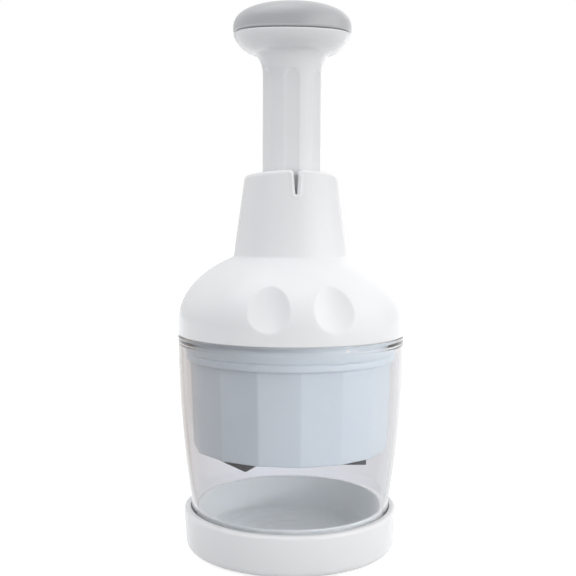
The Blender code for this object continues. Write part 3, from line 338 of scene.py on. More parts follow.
def smoothMesh(bm, name):
    bmesh.ops.remove_doubles(bm, verts=bm.verts, dist=weld)
    bmesh.ops.recalc_face_normals(bm, faces=bm.faces)
    mesh = bpy.data.meshes.new(name)
    bm.to_mesh(mesh)
    bm.free()
    return shadeSmooth(mesh)


def joinLoops(bm, loops, closed=True):
    # skins the space from each loop of points to the next
    for first, second in zip(loops, loops[1:]):
        for i in range(len(first) if closed else len(first) - 1):
            j = (i + 1) % len(first)
            bm.faces.new((first[i], second[i], second[j], first[j]))


def closeSolid(bm, loops, name):
    joinLoops(bm, loops)
    bm.faces.new(loops[0])
    bm.faces.new(loops[-1])
    return smoothMesh(bm, name)


def lathe(name, path, angles, closed=True, reshape=None):
    # turns a path about the axis; reshape moves a point by its angle, radius, height and place in the path
    bm = bmesh.new()
    rings = []
    for angle in angles:
        ring = []
        for i, (radius, z) in enumerate(path):
            if reshape:
                radius, z = reshape(angle, radius, z, i)
            ring.append(bm.verts.new(turnedSpot(angle, radius, z)))
        rings.append(ring)
    joinLoops(bm, rings + rings[:1], closed)
    return smoothMesh(bm, name)


def newObject(name, data):
    item = bpy.data.objects.new(name, data)
    bpy.context.collection.objects.link(item)
    return item


def addPiece(name, mesh, material, body, slotName, *nodes):
    piece = newObject(name, mesh)
    piece.data.materials.clear()
    piece.data.materials.append(material)
    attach(piece, body)
    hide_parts(*nodes)
    return piece


def applyModifiers(piece):
    seen = piece.evaluated_get(bpy.context.evaluated_depsgraph_get())
    mesh = bpy.data.meshes.new_from_object(seen)
    piece.modifiers.clear()
    piece.data = mesh


def cutAway(mesh, cutters):
    # a mesh less some closed cutter meshes
    piece = newObject("blank", mesh)
    tools = [newObject("tool", cutter) for cutter in cutters]
    for tool in tools:
        cut = piece.modifiers.new("cut", "BOOLEAN")
        cut.operation = "DIFFERENCE"
        cut.object = tool
    bpy.context.view_layer.update()
    applyModifiers(piece)
    result = piece.data
    for item in [piece] + tools:
        bpy.data.objects.remove(item)
    return result


# dish, tray and foot ring

dishShape = {
    "wall": 2 * mm, "floor": 2.6 * mm, "foot": 5.5 * mm, "rim": 1.5 * mm, "rimInner": 0.2 * mm,
    "taper": 1.2 * mm, "gap": 0.3 * mm, "grooveRound": 0.2 * mm, "floorRound": 1.4 * mm,
}
footShape = {
    "width": 4 * mm, "ribs": 72, "ribDepth": 0.35 * mm, "ribHeight": 0.8 * mm, "edge": 0.5 * mm,
}


def makeDish():
    shape = dishShape
    radius, low, high = nodeSpan("base_dish")
    ringOut, _, ringHigh = nodeSpan("foot_ring")
    grooveIn = ringOut - footShape["width"] - shape["gap"]
    grooveOut = ringOut + shape["gap"]
    grooveTop = ringHigh + shape["gap"]
    foot = radius - shape["taper"]
    floor = low + shape["floor"]
    corners = [(0, low, 0), (grooveIn, low, crisp), (grooveIn, grooveTop, shape["grooveRound"])]
    corners += [(grooveOut, grooveTop, shape["grooveRound"]), (grooveOut, low, crisp)]
    corners += [(foot, low, shape["foot"]), (radius, high, shape["rim"])]
    inner = foot - shape["wall"]
    corners += [(inner, high, shape["rimInner"]), (inner, floor, shape["floorRound"])]
    corners += [(0, floor, 0)]
    mesh = lathe("dish", filletPath(corners, closed=False, arcSteps=8), evenAngles(192), closed=False)
    addPiece("dish", mesh, whitePlastic, "base", "white_plastic", "base_dish")


trayShape = {
    "wall": 1.5 * mm, "floor": 1.5 * mm, "taper": 1.2 * mm, "round": 2.4 * mm,
    "rings": (9 * mm, 17 * mm, 25 * mm, 33 * mm), "ringDepth": 0.25 * mm, "ringEdge": 0.1 * mm,
}


def makeTray():
    shape = trayShape
    radius, low, high = nodeSpan("base_insert")
    foot = radius - shape["taper"]
    floor = low + shape["floor"]
    depth = shape["ringDepth"]
    corners = [(0, low, 0), (foot, low, shape["round"]), (radius, high, soft)]
    corners += [(radius - shape["wall"], high, soft), (foot - shape["wall"], floor, shape["round"])]
    for middle in reversed(shape["rings"]):
        for across, z in ((2, floor), (1, floor - depth), (-1, floor - depth), (-2, floor)):
            corners.append((middle + across * depth, z, shape["ringEdge"]))
    corners += [(0, floor, 0)]
    mesh = lathe("tray", filletPath(corners, closed=False, arcSteps=4), evenAngles(160), closed=False)
    addPiece("tray", mesh, trayPlastic, "base", "milky_plastic", "base_insert")


def makeFootRing():
    shape = footShape
    outer, low, high = nodeSpan("foot_ring")
    inner = outer - shape["width"]
    edge = shape["edge"]
    corners = [(inner, low, edge), (outer, low, edge), (outer, high, crisp), (inner, high, crisp)]

    def ribbed(angle, radius, z, place):
        if z >= low + shape["ribHeight"]:
            return radius, z
        wave = max(cos(angle * shape["ribs"]), 0) ** 2
        side = 1 if radius < (inner + outer) / 2 else -1
        return radius + side * wave * shape["ribDepth"], z

    mesh = lathe("footRing", filletPath(corners, arcSteps=3), evenAngles(shape["ribs"] * 6), reshape=ribbed)
    addPiece("footRing", mesh, darkRubber, "base", "dark_rubber", "foot_ring")


makeDish()
makeTray()
makeFootRing()
print("dish, tray and foot ring made")


# clear cup

cupShape = {
    "wall": 2.2 * mm, "foot": 18 * mm, "taper": 6 * mm, "bands": 24, "collarHeight": 5 * mm,
    "collarWall": 1.3 * mm, "collarStep": 2.2 * mm, "root": 1.6 * mm, "shoulderEdge": 0.7 * mm,
}


def makeCup():
    shape = cupShape
    radius, low, high = nodeSpan("clear_cup")
    shoulder = high - shape["collarHeight"]
    straight = low + shape["foot"]
    wall = shape["wall"]

    def outside(z):
        share = max(z - straight, 0) / (shoulder - straight)
        return radius - shape["taper"] * (1 - share) ** 2

    rise = [straight + (shoulder - straight) * i / shape["bands"] for i in range(shape["bands"] + 1)]
    collar = radius - shape["collarStep"]
    collarIn = collar - shape["collarWall"]
    root = shoulder - shape["root"]
    turnIn = root - wall
    corners = [(outside(low), low, soft)] + [(outside(z), z, 0) for z in rise[:-1]]
    corners += [(radius, shoulder, shape["shoulderEdge"]), (collar, shoulder, crisp), (collar, high, eased)]
    corners += [(collarIn, high, eased), (collarIn, root, ample), (outside(turnIn) - wall, turnIn, ample)]
    corners += [(outside(z) - wall, z, 0) for z in reversed(rise[:-2])] + [(outside(low) - wall, low, soft)]
    mesh = lathe("cup", filletPath(corners, arcSteps=4), evenAngles(224))
    addPiece("cup", mesh, clearPlastic, "cup", "clear_plastic", "clear_cup")


makeCup()
print("cup made")


# housing: skirt, dome with thumb dimples, and the neck with its slits

housingShape = {
    "wall": 1.9 * mm, "skirt": 5.3 * mm, "skirtEdge": 0.5 * mm, "rise": 34 * mm, "domeSteps": 72,
    "innerSteps": 20, "neckBase": 26 * mm, "neckTop": 20.9 * mm, "neckWall": 2.2 * mm, "neckRound": 2 * mm,
    "neckFillet": 2.2 * mm, "filletTurn": 4, "neckArch": 2 * mm, "hole": 13.8 * mm,
    "dimpleTurn": radians(16), "dimpleWidth": 18.4 * mm, "dimpleHeight": 18.8 * mm, "dimpleDepth": 3.1 * mm,
    "dimpleRise": 9.5 * mm, "dimpleSoftness": 0.015, "dimpleReach": -0.6,
    "slitDepth": 10.5 * mm, "slitTop": 2 * mm, "slitFoot": 0.8 * mm, "slitRound": 2.2 * mm,
    "slitEdge": 1 * mm, "slitBead": 0.3 * mm, "beadPlace": 1.2, "beadSharpness": 3, "slitReach": 3,
    "ringGap": 2 * mm, "slitRings": 0.4 * mm, "coarseTurn": 2.5, "frontTurns": (37, 0.55), "sideTurns": (23, 1.2),
    "screws": 4, "bossCircle": 31 * mm, "boss": 3.4 * mm, "bossFoot": 114.3 * mm, "bossHole": 1.6 * mm,
    "bossHoleDepth": 10 * mm,
}


def refine(path, longest, low, high):
    # splits each stretch of a path between two heights that is longer than longest
    fine = [path[0]]
    for point in path[1:]:
        before = Vector(fine[-1])
        gap = Vector(point) - before
        within = max(before.y, point[1]) > low and min(before.y, point[1]) < high
        pieces = max(ceil(gap.length / longest), 1) if within else 1
        fine += [tuple(before + gap * (i + 1) / pieces) for i in range(pieces)]
    return fine


def slitDistance(x, z, top):
    # how far a point on the neck lies from the slit's edge, negative inside the slit
    shape = housingShape
    foot, half, rounding = shape["slitFoot"] / 2, shape["slitTop"] / 2, shape["slitRound"]
    bottom, shoulder = top - shape["slitDepth"], top - rounding
    x = abs(x)
    if z < bottom:
        return hypot(max(x - foot, 0), bottom - z)
    if z < shoulder:
        return x - foot - (half - foot) * (z - bottom) / (shoulder - bottom)
    if x > half + rounding:
        return x - half
    return rounding - hypot(half + rounding - x, z - shoulder)


def lipDrop(distance, edge):
    inward = max(min(edge - distance, edge), 0)
    return edge - sqrt(edge * edge - inward * inward)


def makeHousing():
    radius, low, high = nodeSpan("housing_shell")
    shape = housingShape
    dome = low + shape["skirt"]
    inner = radius - shape["wall"]
    innerRise = shape["rise"] - shape["wall"]
    neckBase, neckTop, neckWall = shape["neckBase"], shape["neckTop"], shape["neckWall"]
    neckZ = dome + shape["rise"] * sqrt(1 - (neckBase / radius) ** 2)
    lip = high - neckWall
    base = degrees(acos(neckBase / radius))
    baseIn = degrees(acos((neckBase - neckWall) / inner))
    slope = (neckBase - neckTop) / (high - neckZ)
    outside = [(inner, low, shape["skirtEdge"]), (radius, low, soft)]
    outside += ovalArc((0, dome), (radius, shape["rise"]), 0, base - shape["filletTurn"], shape["domeSteps"])
    outside += [(neckBase, neckZ, shape["neckFillet"]), (neckTop, high, shape["neckRound"])]
    outside += [(shape["hole"], high, soft), (shape["hole"], lip, soft)]
    inside = [(neckTop + slope * neckWall - neckWall, lip, ample)]
    inside += ovalArc((0, dome), (inner, innerRise), baseIn, 0, shape["innerSteps"])
    slitLow = high - shape["slitDepth"] - shape["slitReach"] * shape["slitEdge"]
    path = refine(filletPath(outside + inside, arcSteps=7), shape["ringGap"], neckZ, lip)
    path = refine(path, shape["slitRings"], slitLow, lip)
    topEnd = max(i for i, (r, z) in enumerate(path) if z > high - weld and r > shape["hole"] + neckWall)

    def shaped(angle, r, z, place):
        if r > neckBase + 1 * mm:
            fromFront = abs((angle % pi) - pi / 2) - shape["dimpleTurn"]
            across = fromFront * radius / (shape["dimpleWidth"] / 2)
            up = (z - dome - shape["dimpleRise"]) / (shape["dimpleHeight"] / 2)
            bowl = 1 - across * across - up * up
            blur = shape["dimpleSoftness"] ** 2
            if bowl > shape["dimpleReach"]:
                r -= shape["dimpleDepth"] * ((bowl + sqrt(bowl * bowl + blur)) / 2 - blur / 4)
        elif place <= topEnd and z > slitLow:
            distance = slitDistance(r * cos(angle), z, high)
            fromBead = distance / shape["slitEdge"] - shape["beadPlace"]
            r += shape["slitBead"] * exp(-fromBead ** 2 * shape["beadSharpness"])
            r -= lipDrop(distance, shape["slitEdge"])
        rising = max(z - neckZ, 0) / (high - neckZ)
        return r, z - shape["neckArch"] * rising * (r * cos(angle) / neckTop) ** 2

    fine = [(side, *shape["frontTurns"]) for side in (90, 270)]
    fine += [(side, *shape["sideTurns"]) for side in (0, 180)]
    mesh = lathe("housing", path, mixedAngles(shape["coarseTurn"], fine), reshape=shaped)
    mesh = cutAway(mesh, [slitMesh(radius, high)])
    mesh = withBosses(mesh, dome, inner, innerRise)
    addPiece("housing", mesh, whitePlastic, "housing", "white_plastic", "housing_shell")


def withBosses(mesh, dome, inner, innerRise):
    # adds the screw bosses that hang from the dome, each with a blind hole
    shape = housingShape
    foot, boss, hole = shape["bossFoot"], shape["boss"], shape["bossHole"]
    bottom = foot + shape["bossHoleDepth"]
    roof = bottom + shape["bossHoleDepth"]
    corners = [(0, bottom, 0), (hole, bottom, 0), (hole, foot, crisp)]
    corners += [(boss, foot, eased), (boss, roof, 0), (0, roof, 0)]
    path = filletPath(corners, closed=False, arcSteps=3)
    bm = bmesh.new()
    bm.from_mesh(mesh)
    for i in range(shape["screws"]):
        angle = fullTurn * (i + 0.5) / shape["screws"]
        post = lathe("boss", path, evenAngles(28), closed=False)
        post.transform(Matrix.Translation(turnedSpot(angle, shape["bossCircle"], 0)))
        for vert in post.vertices:
            if vert.co.z > roof - weld:
                reach = hypot(vert.co.x, vert.co.y)
                vert.co.z = dome + innerRise * sqrt(1 - (reach / inner) ** 2) + shape["wall"] / 2
        bm.from_mesh(post)
    bm.to_mesh(mesh)
    bm.free()
    return shadeSmooth(mesh)


def slitMesh(reach, top):
    # one long wedge with spread shoulders, which cuts the front and the back slit together
    shape = housingShape
    width, rounding = shape["slitTop"] / 2, shape["slitRound"]
    side = [(shape["slitFoot"] / 2, top - shape["slitDepth"])]
    shoulder = ovalArc((width + rounding, top - rounding), (rounding, rounding), 180, 90, 6)
    side += [(x, z) for x, z, _ in shoulder] + [(width + rounding, top + rounding)]
    outline = side + [(-x, z) for x, z in reversed(side)]
    bm = bmesh.new()
    loops = [[bm.verts.new((x, end * reach, z)) for x, z in outline] for end in (-1, 1)]
    return closeSolid(bm, loops, "slit")


makeHousing()
print("housing made")


# guard: a turned shell by geometry nodes, sixteen-sided under its ridge

guardFacets = {"Sides": 16, "Side Steps": 12, "Edge Cap": 0.9987}


def makeTurnedTree():
    inputs = {**guardFacets, "Profile": "Object", "Facet Top": 0.0, "Facet Inner": 0.0, "Material": "Material"}
    tree, given, out = newGroup("turnedShell", "GeometryNodeTree", inputs, {"Geometry": "Geometry"})
    work = functools.partial(calc, tree)
    profile = addNode(tree, "GeometryNodeObjectInfo", {"Object": given["Profile"]})["Geometry"]
    levels = addNode(tree, "GeometryNodeAttributeDomainSize", {"Geometry": profile})["Point Count"]
    steps = work("MULTIPLY", given["Sides"], given["Side Steps"])
    grid = addNode(tree, "GeometryNodeMeshGrid", {"Vertices X": work("ADD", steps, 1.0), "Vertices Y": levels})
    index = addNode(tree, "GeometryNodeInputIndex")[0]
    level = work("FLOORED_MODULO", index, levels)
    step = work("FLOOR", work("DIVIDE", index, levels))
    position = addNode(tree, "GeometryNodeInputPosition")[0]
    sample = addNode(tree, "GeometryNodeSampleIndex", {
        "Geometry": profile, "Index": level, "Value": position}, data_type="FLOAT_VECTOR")
    spot = addNode(tree, "ShaderNodeSeparateXYZ", {0: sample["Value"]})
    side = work("FLOOR", work("DIVIDE", step, given["Side Steps"]))
    within = work("FRACT", work("DIVIDE", step, given["Side Steps"]))
    crowded = work("MULTIPLY_ADD", work("COSINE", work("MULTIPLY", within, pi)), -0.5, 0.5)
    sideTurn = work("DIVIDE", fullTurn, given["Sides"])
    angle = work("MULTIPLY", work("ADD", side, crowded), sideTurn)
    fromMiddle = work("MULTIPLY", work("SUBTRACT", crowded, 0.5), sideTurn)
    halfCos = work("COSINE", work("DIVIDE", sideTurn, 2.0))
    facet = work("MINIMUM", work("DIVIDE", halfCos, work("COSINE", fromMiddle)), given["Edge Cap"])
    low = work("LESS_THAN", spot["Z"], given["Facet Top"])
    wide = work("GREATER_THAN", spot["X"], given["Facet Inner"])
    factor = work("MULTIPLY_ADD", work("SUBTRACT", facet, 1.0), work("MULTIPLY", low, wide), 1.0)
    radius = work("MULTIPLY", spot["X"], factor)
    place = aroundAxis(tree, radius, angle, spot["Z"])
    moved = addNode(tree, "GeometryNodeSetPosition", {"Geometry": grid["Mesh"], "Position": place})
    joined = addNode(tree, "GeometryNodeMergeByDistance", {"Geometry": moved[0], "Distance": weld})
    endTree(tree, joined[0], given, out)
    return tree


def endTree(tree, shape, given, out):
    real = addNode(tree, "GeometryNodeRealizeInstances", {"Geometry": shape})
    coated = addNode(tree, "GeometryNodeSetMaterial", {"Geometry": real[0], "Material": given["Material"]})
    feed(tree, out, {"Geometry": coated[0]})


def growMesh(name, tree, values):
    # runs a geometry tree with named input values and returns the plain mesh
    host = newObject(name, bpy.data.meshes.new(name))
    modifier = host.modifiers.new("grow", "NODES")
    modifier.node_group = tree
    for item in tree.interface.items_tree:
        if item.in_out == "INPUT" and item.name in values:
            modifier[item.identifier] = values[item.name]
    bpy.context.view_layer.update()
    applyModifiers(host)
    bm = bmesh.new()
    bm.from_mesh(host.data)
    bpy.data.objects.remove(host)
    return smoothMesh(bm, name)


guardShape = {
    "wall": 1.6 * mm, "lip": 1.5 * mm, "topLip": 1.5 * mm, "holeReach": 5.3 * mm,
    "band": 7.7 * mm, "bandRise": 4.7 * mm, "ridge": 2.9 * mm, "ridgeStep": 1.5 * mm, "taper": 1.6 * mm,
    "groove": 0.55 * mm, "bandStep": 0.35 * mm, "edge": 0.5 * mm, "lipHole": 40.6 * mm,
    "footRound": 1.0 * mm, "ridgeRound": 0.9 * mm, "ridgeFlat": 0.2 * mm,
    "grooveFoot": 0.12 * mm, "grooveEdge": 0.2 * mm, "innerRound": 1 * mm, "sharpAngle": 28,
    "gaps": 3, "gapTurn": radians(36), "gapShift": radians(-40), "gapReach": 43.4 * mm, "overrun": 1 * mm,
}


def makeGuard():
    shape = guardShape
    radius, low, high = nodeSpan("splash_guard")
    ridgeTop = high - shape["bandRise"] - shape["band"]
    ridgeLow = ridgeTop - shape["ridge"]
    facetTop = radius - shape["ridgeStep"]
    facetFoot = facetTop - shape["taper"]
    wall, edge = shape["wall"], shape["edge"]
    hole = facetFoot - shape["holeReach"]
    band = radius - shape["bandStep"]
    lipLow = high - shape["topLip"]
    corners = [(hole, low, eased), (facetFoot, low, shape["footRound"]), (facetTop, ridgeLow - edge, edge)]
    ridge = shape["ridgeRound"]
    corners += [(radius, ridgeLow, ridge), (radius, ridgeTop - shape["ridgeFlat"], ridge)]
    corners += [(band - shape["groove"], ridgeTop, shape["grooveFoot"])]
    corners += [(band, ridgeTop + shape["groove"], shape["grooveEdge"]), (band, high, edge)]
    corners += [(shape["lipHole"], high, eased), (shape["lipHole"], lipLow, eased)]
    corners += [(radius - wall, lipLow, eased), (radius - wall, ridgeTop, shape["innerRound"])]
    corners += [(facetTop - wall, ridgeLow - edge, shape["innerRound"])]
    corners += [(facetFoot - wall, low + shape["lip"], soft), (hole, low + shape["lip"], eased)]
    path = filletPath(corners, arcSteps=4)
    guide = newObject("guardPath", bpy.data.meshes.new("guardPath"))
    guide.data.from_pydata([(x, 0, z) for x, z in path + path[:1]], [], [])
    mesh = growMesh("guard", makeTurnedTree(), {
        **guardFacets, "Profile": guide, "Facet Top": ridgeLow - edge,
        "Facet Inner": (hole + facetFoot - wall) / 2, "Material": milkyPlastic})
    bpy.data.objects.remove(guide)
    turns = [fullTurn * i / shape["gaps"] + shape["gapShift"] for i in range(shape["gaps"])]
    mesh = shadeSmooth(cutAway(mesh, [gapMesh(high, turn) for turn in turns]), shape["sharpAngle"])
    addPiece("guard", mesh, milkyPlastic, "guard", "milky_plastic", "splash_guard")


def gapMesh(top, middle):
    # block that opens the guard's top lip for one bayonet tab
    shape = guardShape
    steps = 6
    inner, outer = shape["lipHole"] - shape["overrun"], shape["gapReach"]
    below, above = top - 2 * shape["topLip"], top + shape["topLip"]
    bm = bmesh.new()
    loops = []
    for step in range(steps + 1):
        angle = middle + shape["gapTurn"] * (step / steps - 0.5)
        corners = [(inner, below), (outer, below), (outer, above), (inner, above)]
        loops.append([bm.verts.new(turnedSpot(angle, r, z)) for r, z in corners])
    return closeSolid(bm, loops, "gap")


makeGuard()
print("guard made")


# handle and cap

handleShape = {
    "stem": 13 * mm, "bore": 10.4 * mm, "stemTop": 213.8 * mm, "stemBands": 64, "endStep": 1 * mm,
    "endHeight": 4.4 * mm, "waist": 17 * mm, "sweep": 8.2 * mm, "sweepRoundness": 1.7,
    "bellyRoundness": 1.5, "rim": 1 * mm, "bowlWall": 7.5 * mm, "bowlDepth": 5 * mm,
    "flutes": 6, "fluteWidth": 6.4 * mm, "fluteDepth": 0.6 * mm, "fluteTurn": radians(-6),
    "fluteEdge": 0.6 * mm, "fluteFoot": 157 * mm, "fluteTop": 0.4 * mm, "blend": 3 * mm, "blendTurns": 14,
}
waveShape = {"height": 0.7 * mm, "reach": 7 * mm}


def rimWave(angle, z, rim):
    # the parting line of knob and cap dips in front and behind and rises at the sides
    share = max(1 - abs(z - rim) / waveShape["reach"], 0)
    return z + waveShape["height"] * cos(2 * angle) * share * share * (3 - 2 * share)


def smoothPath(path, low, high, least, turns):
    # evens out the bends of a path between two heights, where it lies further out than least
    for _ in range(turns):
        before = list(path)
        for i in range(1, len(path) - 1):
            r, z = before[i]
            if low < z < high and r >= least - weld:
                path[i] = tuple((before[i - 1][k] + 2 * before[i][k] + before[i + 1][k]) / 4 for k in (0, 1))
    return path


def makeHandle():
    shape = handleShape
    radius, low, high = nodeSpan("handle")
    stem, waist, stemTop, bore = shape["stem"], shape["waist"], shape["stemTop"], shape["bore"]
    belly = stemTop + shape["sweep"]
    bowl, bowlLow = radius - shape["bowlWall"], high - shape["bowlDepth"]
    end = low + shape["endHeight"]
    bands = shape["stemBands"]
    corners = [(bore, low, crisp), (stem - shape["endStep"], low, crisp), (stem - shape["endStep"], end, 0)]
    corners += [(stem, end, crisp)] + [(stem, end + (stemTop - end) * i / bands, 0) for i in range(1, bands)]
    corners += ovalArc((waist, stemTop), (waist - stem, shape["sweep"]), 180, 90, 24, shape["sweepRoundness"])
    under = ovalArc((waist, high), (radius - waist, high - belly), -90, 0, 30, shape["bellyRoundness"])
    corners += under[1:-5]  # the rim's rounding takes the arc's last steps
    corners += [(radius, high, shape["rim"]), (bowl, high, eased), (bowl, bowlLow, ample)]
    corners += [(bore, bowlLow, eased)]
    path = filletPath(corners, arcSteps=4)
    path = smoothPath(path, stemTop - shape["blend"], high - shape["rim"], stem, shape["blendTurns"])
    pitch = fullTurn / shape["flutes"]
    halfWidth = shape["fluteWidth"] / 2

    def fluted(angle, r, z, place):
        if r < stem - 0.1 * mm or r > stem + 1.5 * mm or z > belly:
            return r, rimWave(angle, z, high)
        turn = abs((angle + pi / 2 - shape["fluteTurn"] + pitch / 2) % pitch - pitch / 2)
        across = stem * sin(turn)
        above = max(z - (stemTop + shape["fluteTop"] - halfWidth), shape["fluteFoot"] + halfWidth - z, 0)
        inward = (halfWidth - hypot(across, above)) / shape["fluteEdge"]
        share = 1 / (1 + exp(-3 * max(min(inward, 6), -6)))
        flat = (stem - shape["fluteDepth"]) / cos(turn)
        return r + min(flat - r, 0) * share, z

    mesh = lathe("pressHandle", path, evenAngles(384), reshape=fluted)
    addPiece("pressHandle", mesh, whitePlastic, "plunger", "white_plastic", "handle")


capShape = {
    "edge": 2.4 * mm, "roundness": 2.6, "rim": 1.3 * mm, "wall": 3 * mm, "steps": 40, "innerSteps": 16,
}


def makeCap():
    shape = capShape
    radius, low, high = nodeSpan("grip_cap")
    inner = radius - handleShape["bowlWall"]
    edge = low + shape["edge"]
    rise, innerRise = high - edge, high - shape["wall"] - edge

    def waved(angle, r, z, place):
        return r, rimWave(angle, z, low)

    inside = ovalArc((0, edge), (inner, innerRise), 0, 90, shape["innerSteps"], shape["roundness"])
    corners = inside[::-1] + [(inner, low, shape["rim"]), (radius, low, shape["rim"])]
    corners += ovalArc((0, edge), (radius, rise), 0, 90, shape["steps"], shape["roundness"])
    path = filletPath(corners, closed=False, arcSteps=5)
    mesh = lathe("gripCap", path, evenAngles(160), closed=False, reshape=waved)
    addPiece("gripCap", mesh, softGrey, "plunger", "soft_grey", "grip_cap")


makeHandle()
makeCap()
print("handle and cap made")


# blades: two folded strips, ground at the foot, whose ends spread into ears at the top

bladeShape = {
    "thick": 0.8 * mm, "edge": 0.1 * mm, "ground": 3.4 * mm, "ear": 1.5 * mm, "earHeight": 1.4 * mm,
    "earStep": 0.3 * mm, "foldRound": 0.5 * mm, "reach": 37.98 * mm,
    "foldShares": ((-0.926, -0.034), (-0.568, -0.713), (-0.25, -0.132), (0.105, -0.553), (0.329, -0.118),
                   (0.539, -0.474), (0.829, -0.5)),
}


def makeBlade(name, node, side):
    shape = bladeShape
    low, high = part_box(node)
    folds = [Vector((side * x, side * y)) * shape["reach"] for x, y in shape["foldShares"]]
    corners = [(spot.x, spot.y, shape["foldRound"]) for spot in folds]
    line = [Vector(spot) for spot in filletPath(corners, closed=False, arcSteps=3)]
    normals = []
    for i, spot in enumerate(line):
        before = (spot - line[i - 1]).normalized() if i else None
        after = (line[i + 1] - spot).normalized() if i < len(line) - 1 else None
        way = ((before or after) + (after or before)).normalized()
        bend = way.dot(after or before)
        normals.append(Vector((-way.y, way.x)) / max(bend, 0.5))
    thick, ear = shape["thick"], high.z - shape["earHeight"]
    rows = [(low.z, shape["edge"], 0), (low.z + shape["ground"], thick, 0), (ear - shape["earStep"], thick, 0)]
    rows += [(ear, thick, shape["ear"]), (high.z, thick, shape["ear"])]
    bm = bmesh.new()
    loops = []
    for z, width, longer in rows:
        spots = [spot.copy() for spot in line]
        spots[0] += (line[0] - line[1]).normalized() * longer
        spots[-1] += (line[-1] - line[-2]).normalized() * longer
        near = [spot + normal * width / 2 for spot, normal in zip(spots, normals)]
        far = [spot - normal * width / 2 for spot, normal in zip(spots, normals)]
        loops.append([bm.verts.new((spot.x, spot.y, z)) for spot in near + far[::-1]])
    joinLoops(bm, loops)
    count = len(loops[0])
    for loop in (loops[0], loops[-1]):
        for i in range(count // 2 - 1):
            bm.faces.new((loop[i], loop[i + 1], loop[count - 2 - i], loop[count - 1 - i]))
    addPiece(name, smoothMesh(bm, name), bladeSteelPaintedDark, "rotor", "blade_steel", node)


makeBlade("bladeA", "blade_a", 1)
makeBlade("bladeB", "blade_b", -1)
print("blades made")


# return spring by geometry nodes: a coil whose end turns lie close

springShape = {
    "Wire Radius": 0.6 * mm, "Coil Radius": 9 * mm, "Turns": 9.0, "End Pitch": 1.56 * mm, "Turn Steps": 32,
    "Wire Sides": 12,
}


def makeSpringTree():
    inputs = {**springShape, "Low": 0.0, "High": 71 * mm, "Material": "Material"}
    tree, given, out = newGroup("springCoil", "GeometryNodeTree", inputs, {"Geometry": "Geometry"})
    work = functools.partial(calc, tree)
    steps = work("MULTIPLY", given["Turns"], given["Turn Steps"])
    line = addNode(tree, "GeometryNodeMeshLine", {"Count": work("ADD", steps, 1.0)})
    index = addNode(tree, "GeometryNodeInputIndex")[0]
    turned = work("DIVIDE", index, given["Turn Steps"])
    angle = work("MULTIPLY", turned, fullTurn)
    middleTurns = work("SUBTRACT", given["Turns"], 2.0)
    inMiddle = work("MINIMUM", work("MAXIMUM", work("SUBTRACT", turned, 1.0), 0.0), middleTurns)
    inEnds = work("SUBTRACT", turned, inMiddle)
    start = work("ADD", given["Low"], given["Wire Radius"])
    wires = work("MULTIPLY", given["Wire Radius"], 2.0)
    span = work("SUBTRACT", work("SUBTRACT", given["High"], given["Low"]), wires)
    ends = work("MULTIPLY", given["End Pitch"], 2.0)
    pitch = work("DIVIDE", work("SUBTRACT", span, ends), middleTurns)
    rise = work("ADD", work("MULTIPLY", inMiddle, pitch), work("MULTIPLY", inEnds, given["End Pitch"]))
    place = aroundAxis(tree, given["Coil Radius"], angle, work("ADD", start, rise))
    moved = addNode(tree, "GeometryNodeSetPosition", {"Geometry": line[0], "Position": place})
    curve = addNode(tree, "GeometryNodeMeshToCurve", {"Mesh": moved[0]})
    circle = addNode(tree, "GeometryNodeCurvePrimitiveCircle", {
        "Resolution": given["Wire Sides"], "Radius": given["Wire Radius"]})
    wire = addNode(tree, "GeometryNodeCurveToMesh", {
        "Curve": curve[0], "Profile Curve": circle[0], "Fill Caps": True})
    endTree(tree, wire[0], given, out)
    return tree


def makeSpring():
    _, low, high = nodeSpan("return_spring")
    values = {**springShape, "Low": low, "High": high, "Material": plainSteel}
    mesh = growMesh("returnSpring", makeSpringTree(), values)
    spring = addPiece("returnSpring", mesh, plainSteel, "housing", "steel", "return_spring")
    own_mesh(spring)


makeSpring()
print("spring made")


# inner pieces keep their frame shape; those that show when the chopper is apart get broken edges

innerShape = {
    "whiteBevel": 0.25 * mm, "milkyBevel": 0.2 * mm, "flatAngle": 1, "bevelAngle": 40, "sharpAngle": 35,
}


def refinedCopy(name, node, material, body, slotName, bevel):
    shape = innerShape
    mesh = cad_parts[node].data.copy()
    mesh.transform(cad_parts[node].matrix_world)
    bm = bmesh.new()
    bm.from_mesh(mesh)
    bmesh.ops.remove_doubles(bm, verts=bm.verts, dist=weld)
    bmesh.ops.dissolve_limit(bm, angle_limit=radians(shape["flatAngle"]), verts=bm.verts, edges=bm.edges)
    least = radians(shape["bevelAngle"])
    edges = [edge for edge in bm.edges if edge.is_manifold and edge.calc_face_angle(0) > least]
    bmesh.ops.bevel(bm, geom=edges, offset=bevel, segments=2, profile=0.5, affect="EDGES", clamp_overlap=True)
    bm.to_mesh(mesh)
    bm.free()
    mesh.name = name
    addPiece(name, shadeSmooth(mesh, shape["sharpAngle"]), material, body, slotName, node)


def coat(node, material):
    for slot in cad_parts[node].material_slots:
        slot.material = material


for name, node, body in (
        ("guideSleeve", "guide_sleeve", "housing"), ("bayonetRing", "bayonet_ring", "housing"),
        ("bladeCarrier", "blade_carrier", "rotor"), ("wiperPlate", "wiper_plate", "wiper")):
    refinedCopy(name, node, whitePlastic, body, "white_plastic", innerShape["whiteBevel"])
for name, node, body in (
        ("camNut", "cam_nut", "housing"), ("stopRing", "stop_ring", "plunger"), ("rotorHub", "rotor_hub", "rotor")):
    refinedCopy(name, node, milkyPlastic, body, "milky_plastic", innerShape["milkyBevel"])
coat("cap_core", whitePlastic)
for node in ("spring_seat", "push_rod", "rod_nut", "thrust_washer", "rod_screw"):
    coat(node, plainSteel)
for count, node in ((4, "housing_screw_"), (2, "cam_screw_"), (2, "carrier_screw_")):
    for i in range(count):
        coat(f"{node}{i + 1}", plainSteel)
print("inner pieces coated")


# studio: floor, sky, lamps and camera

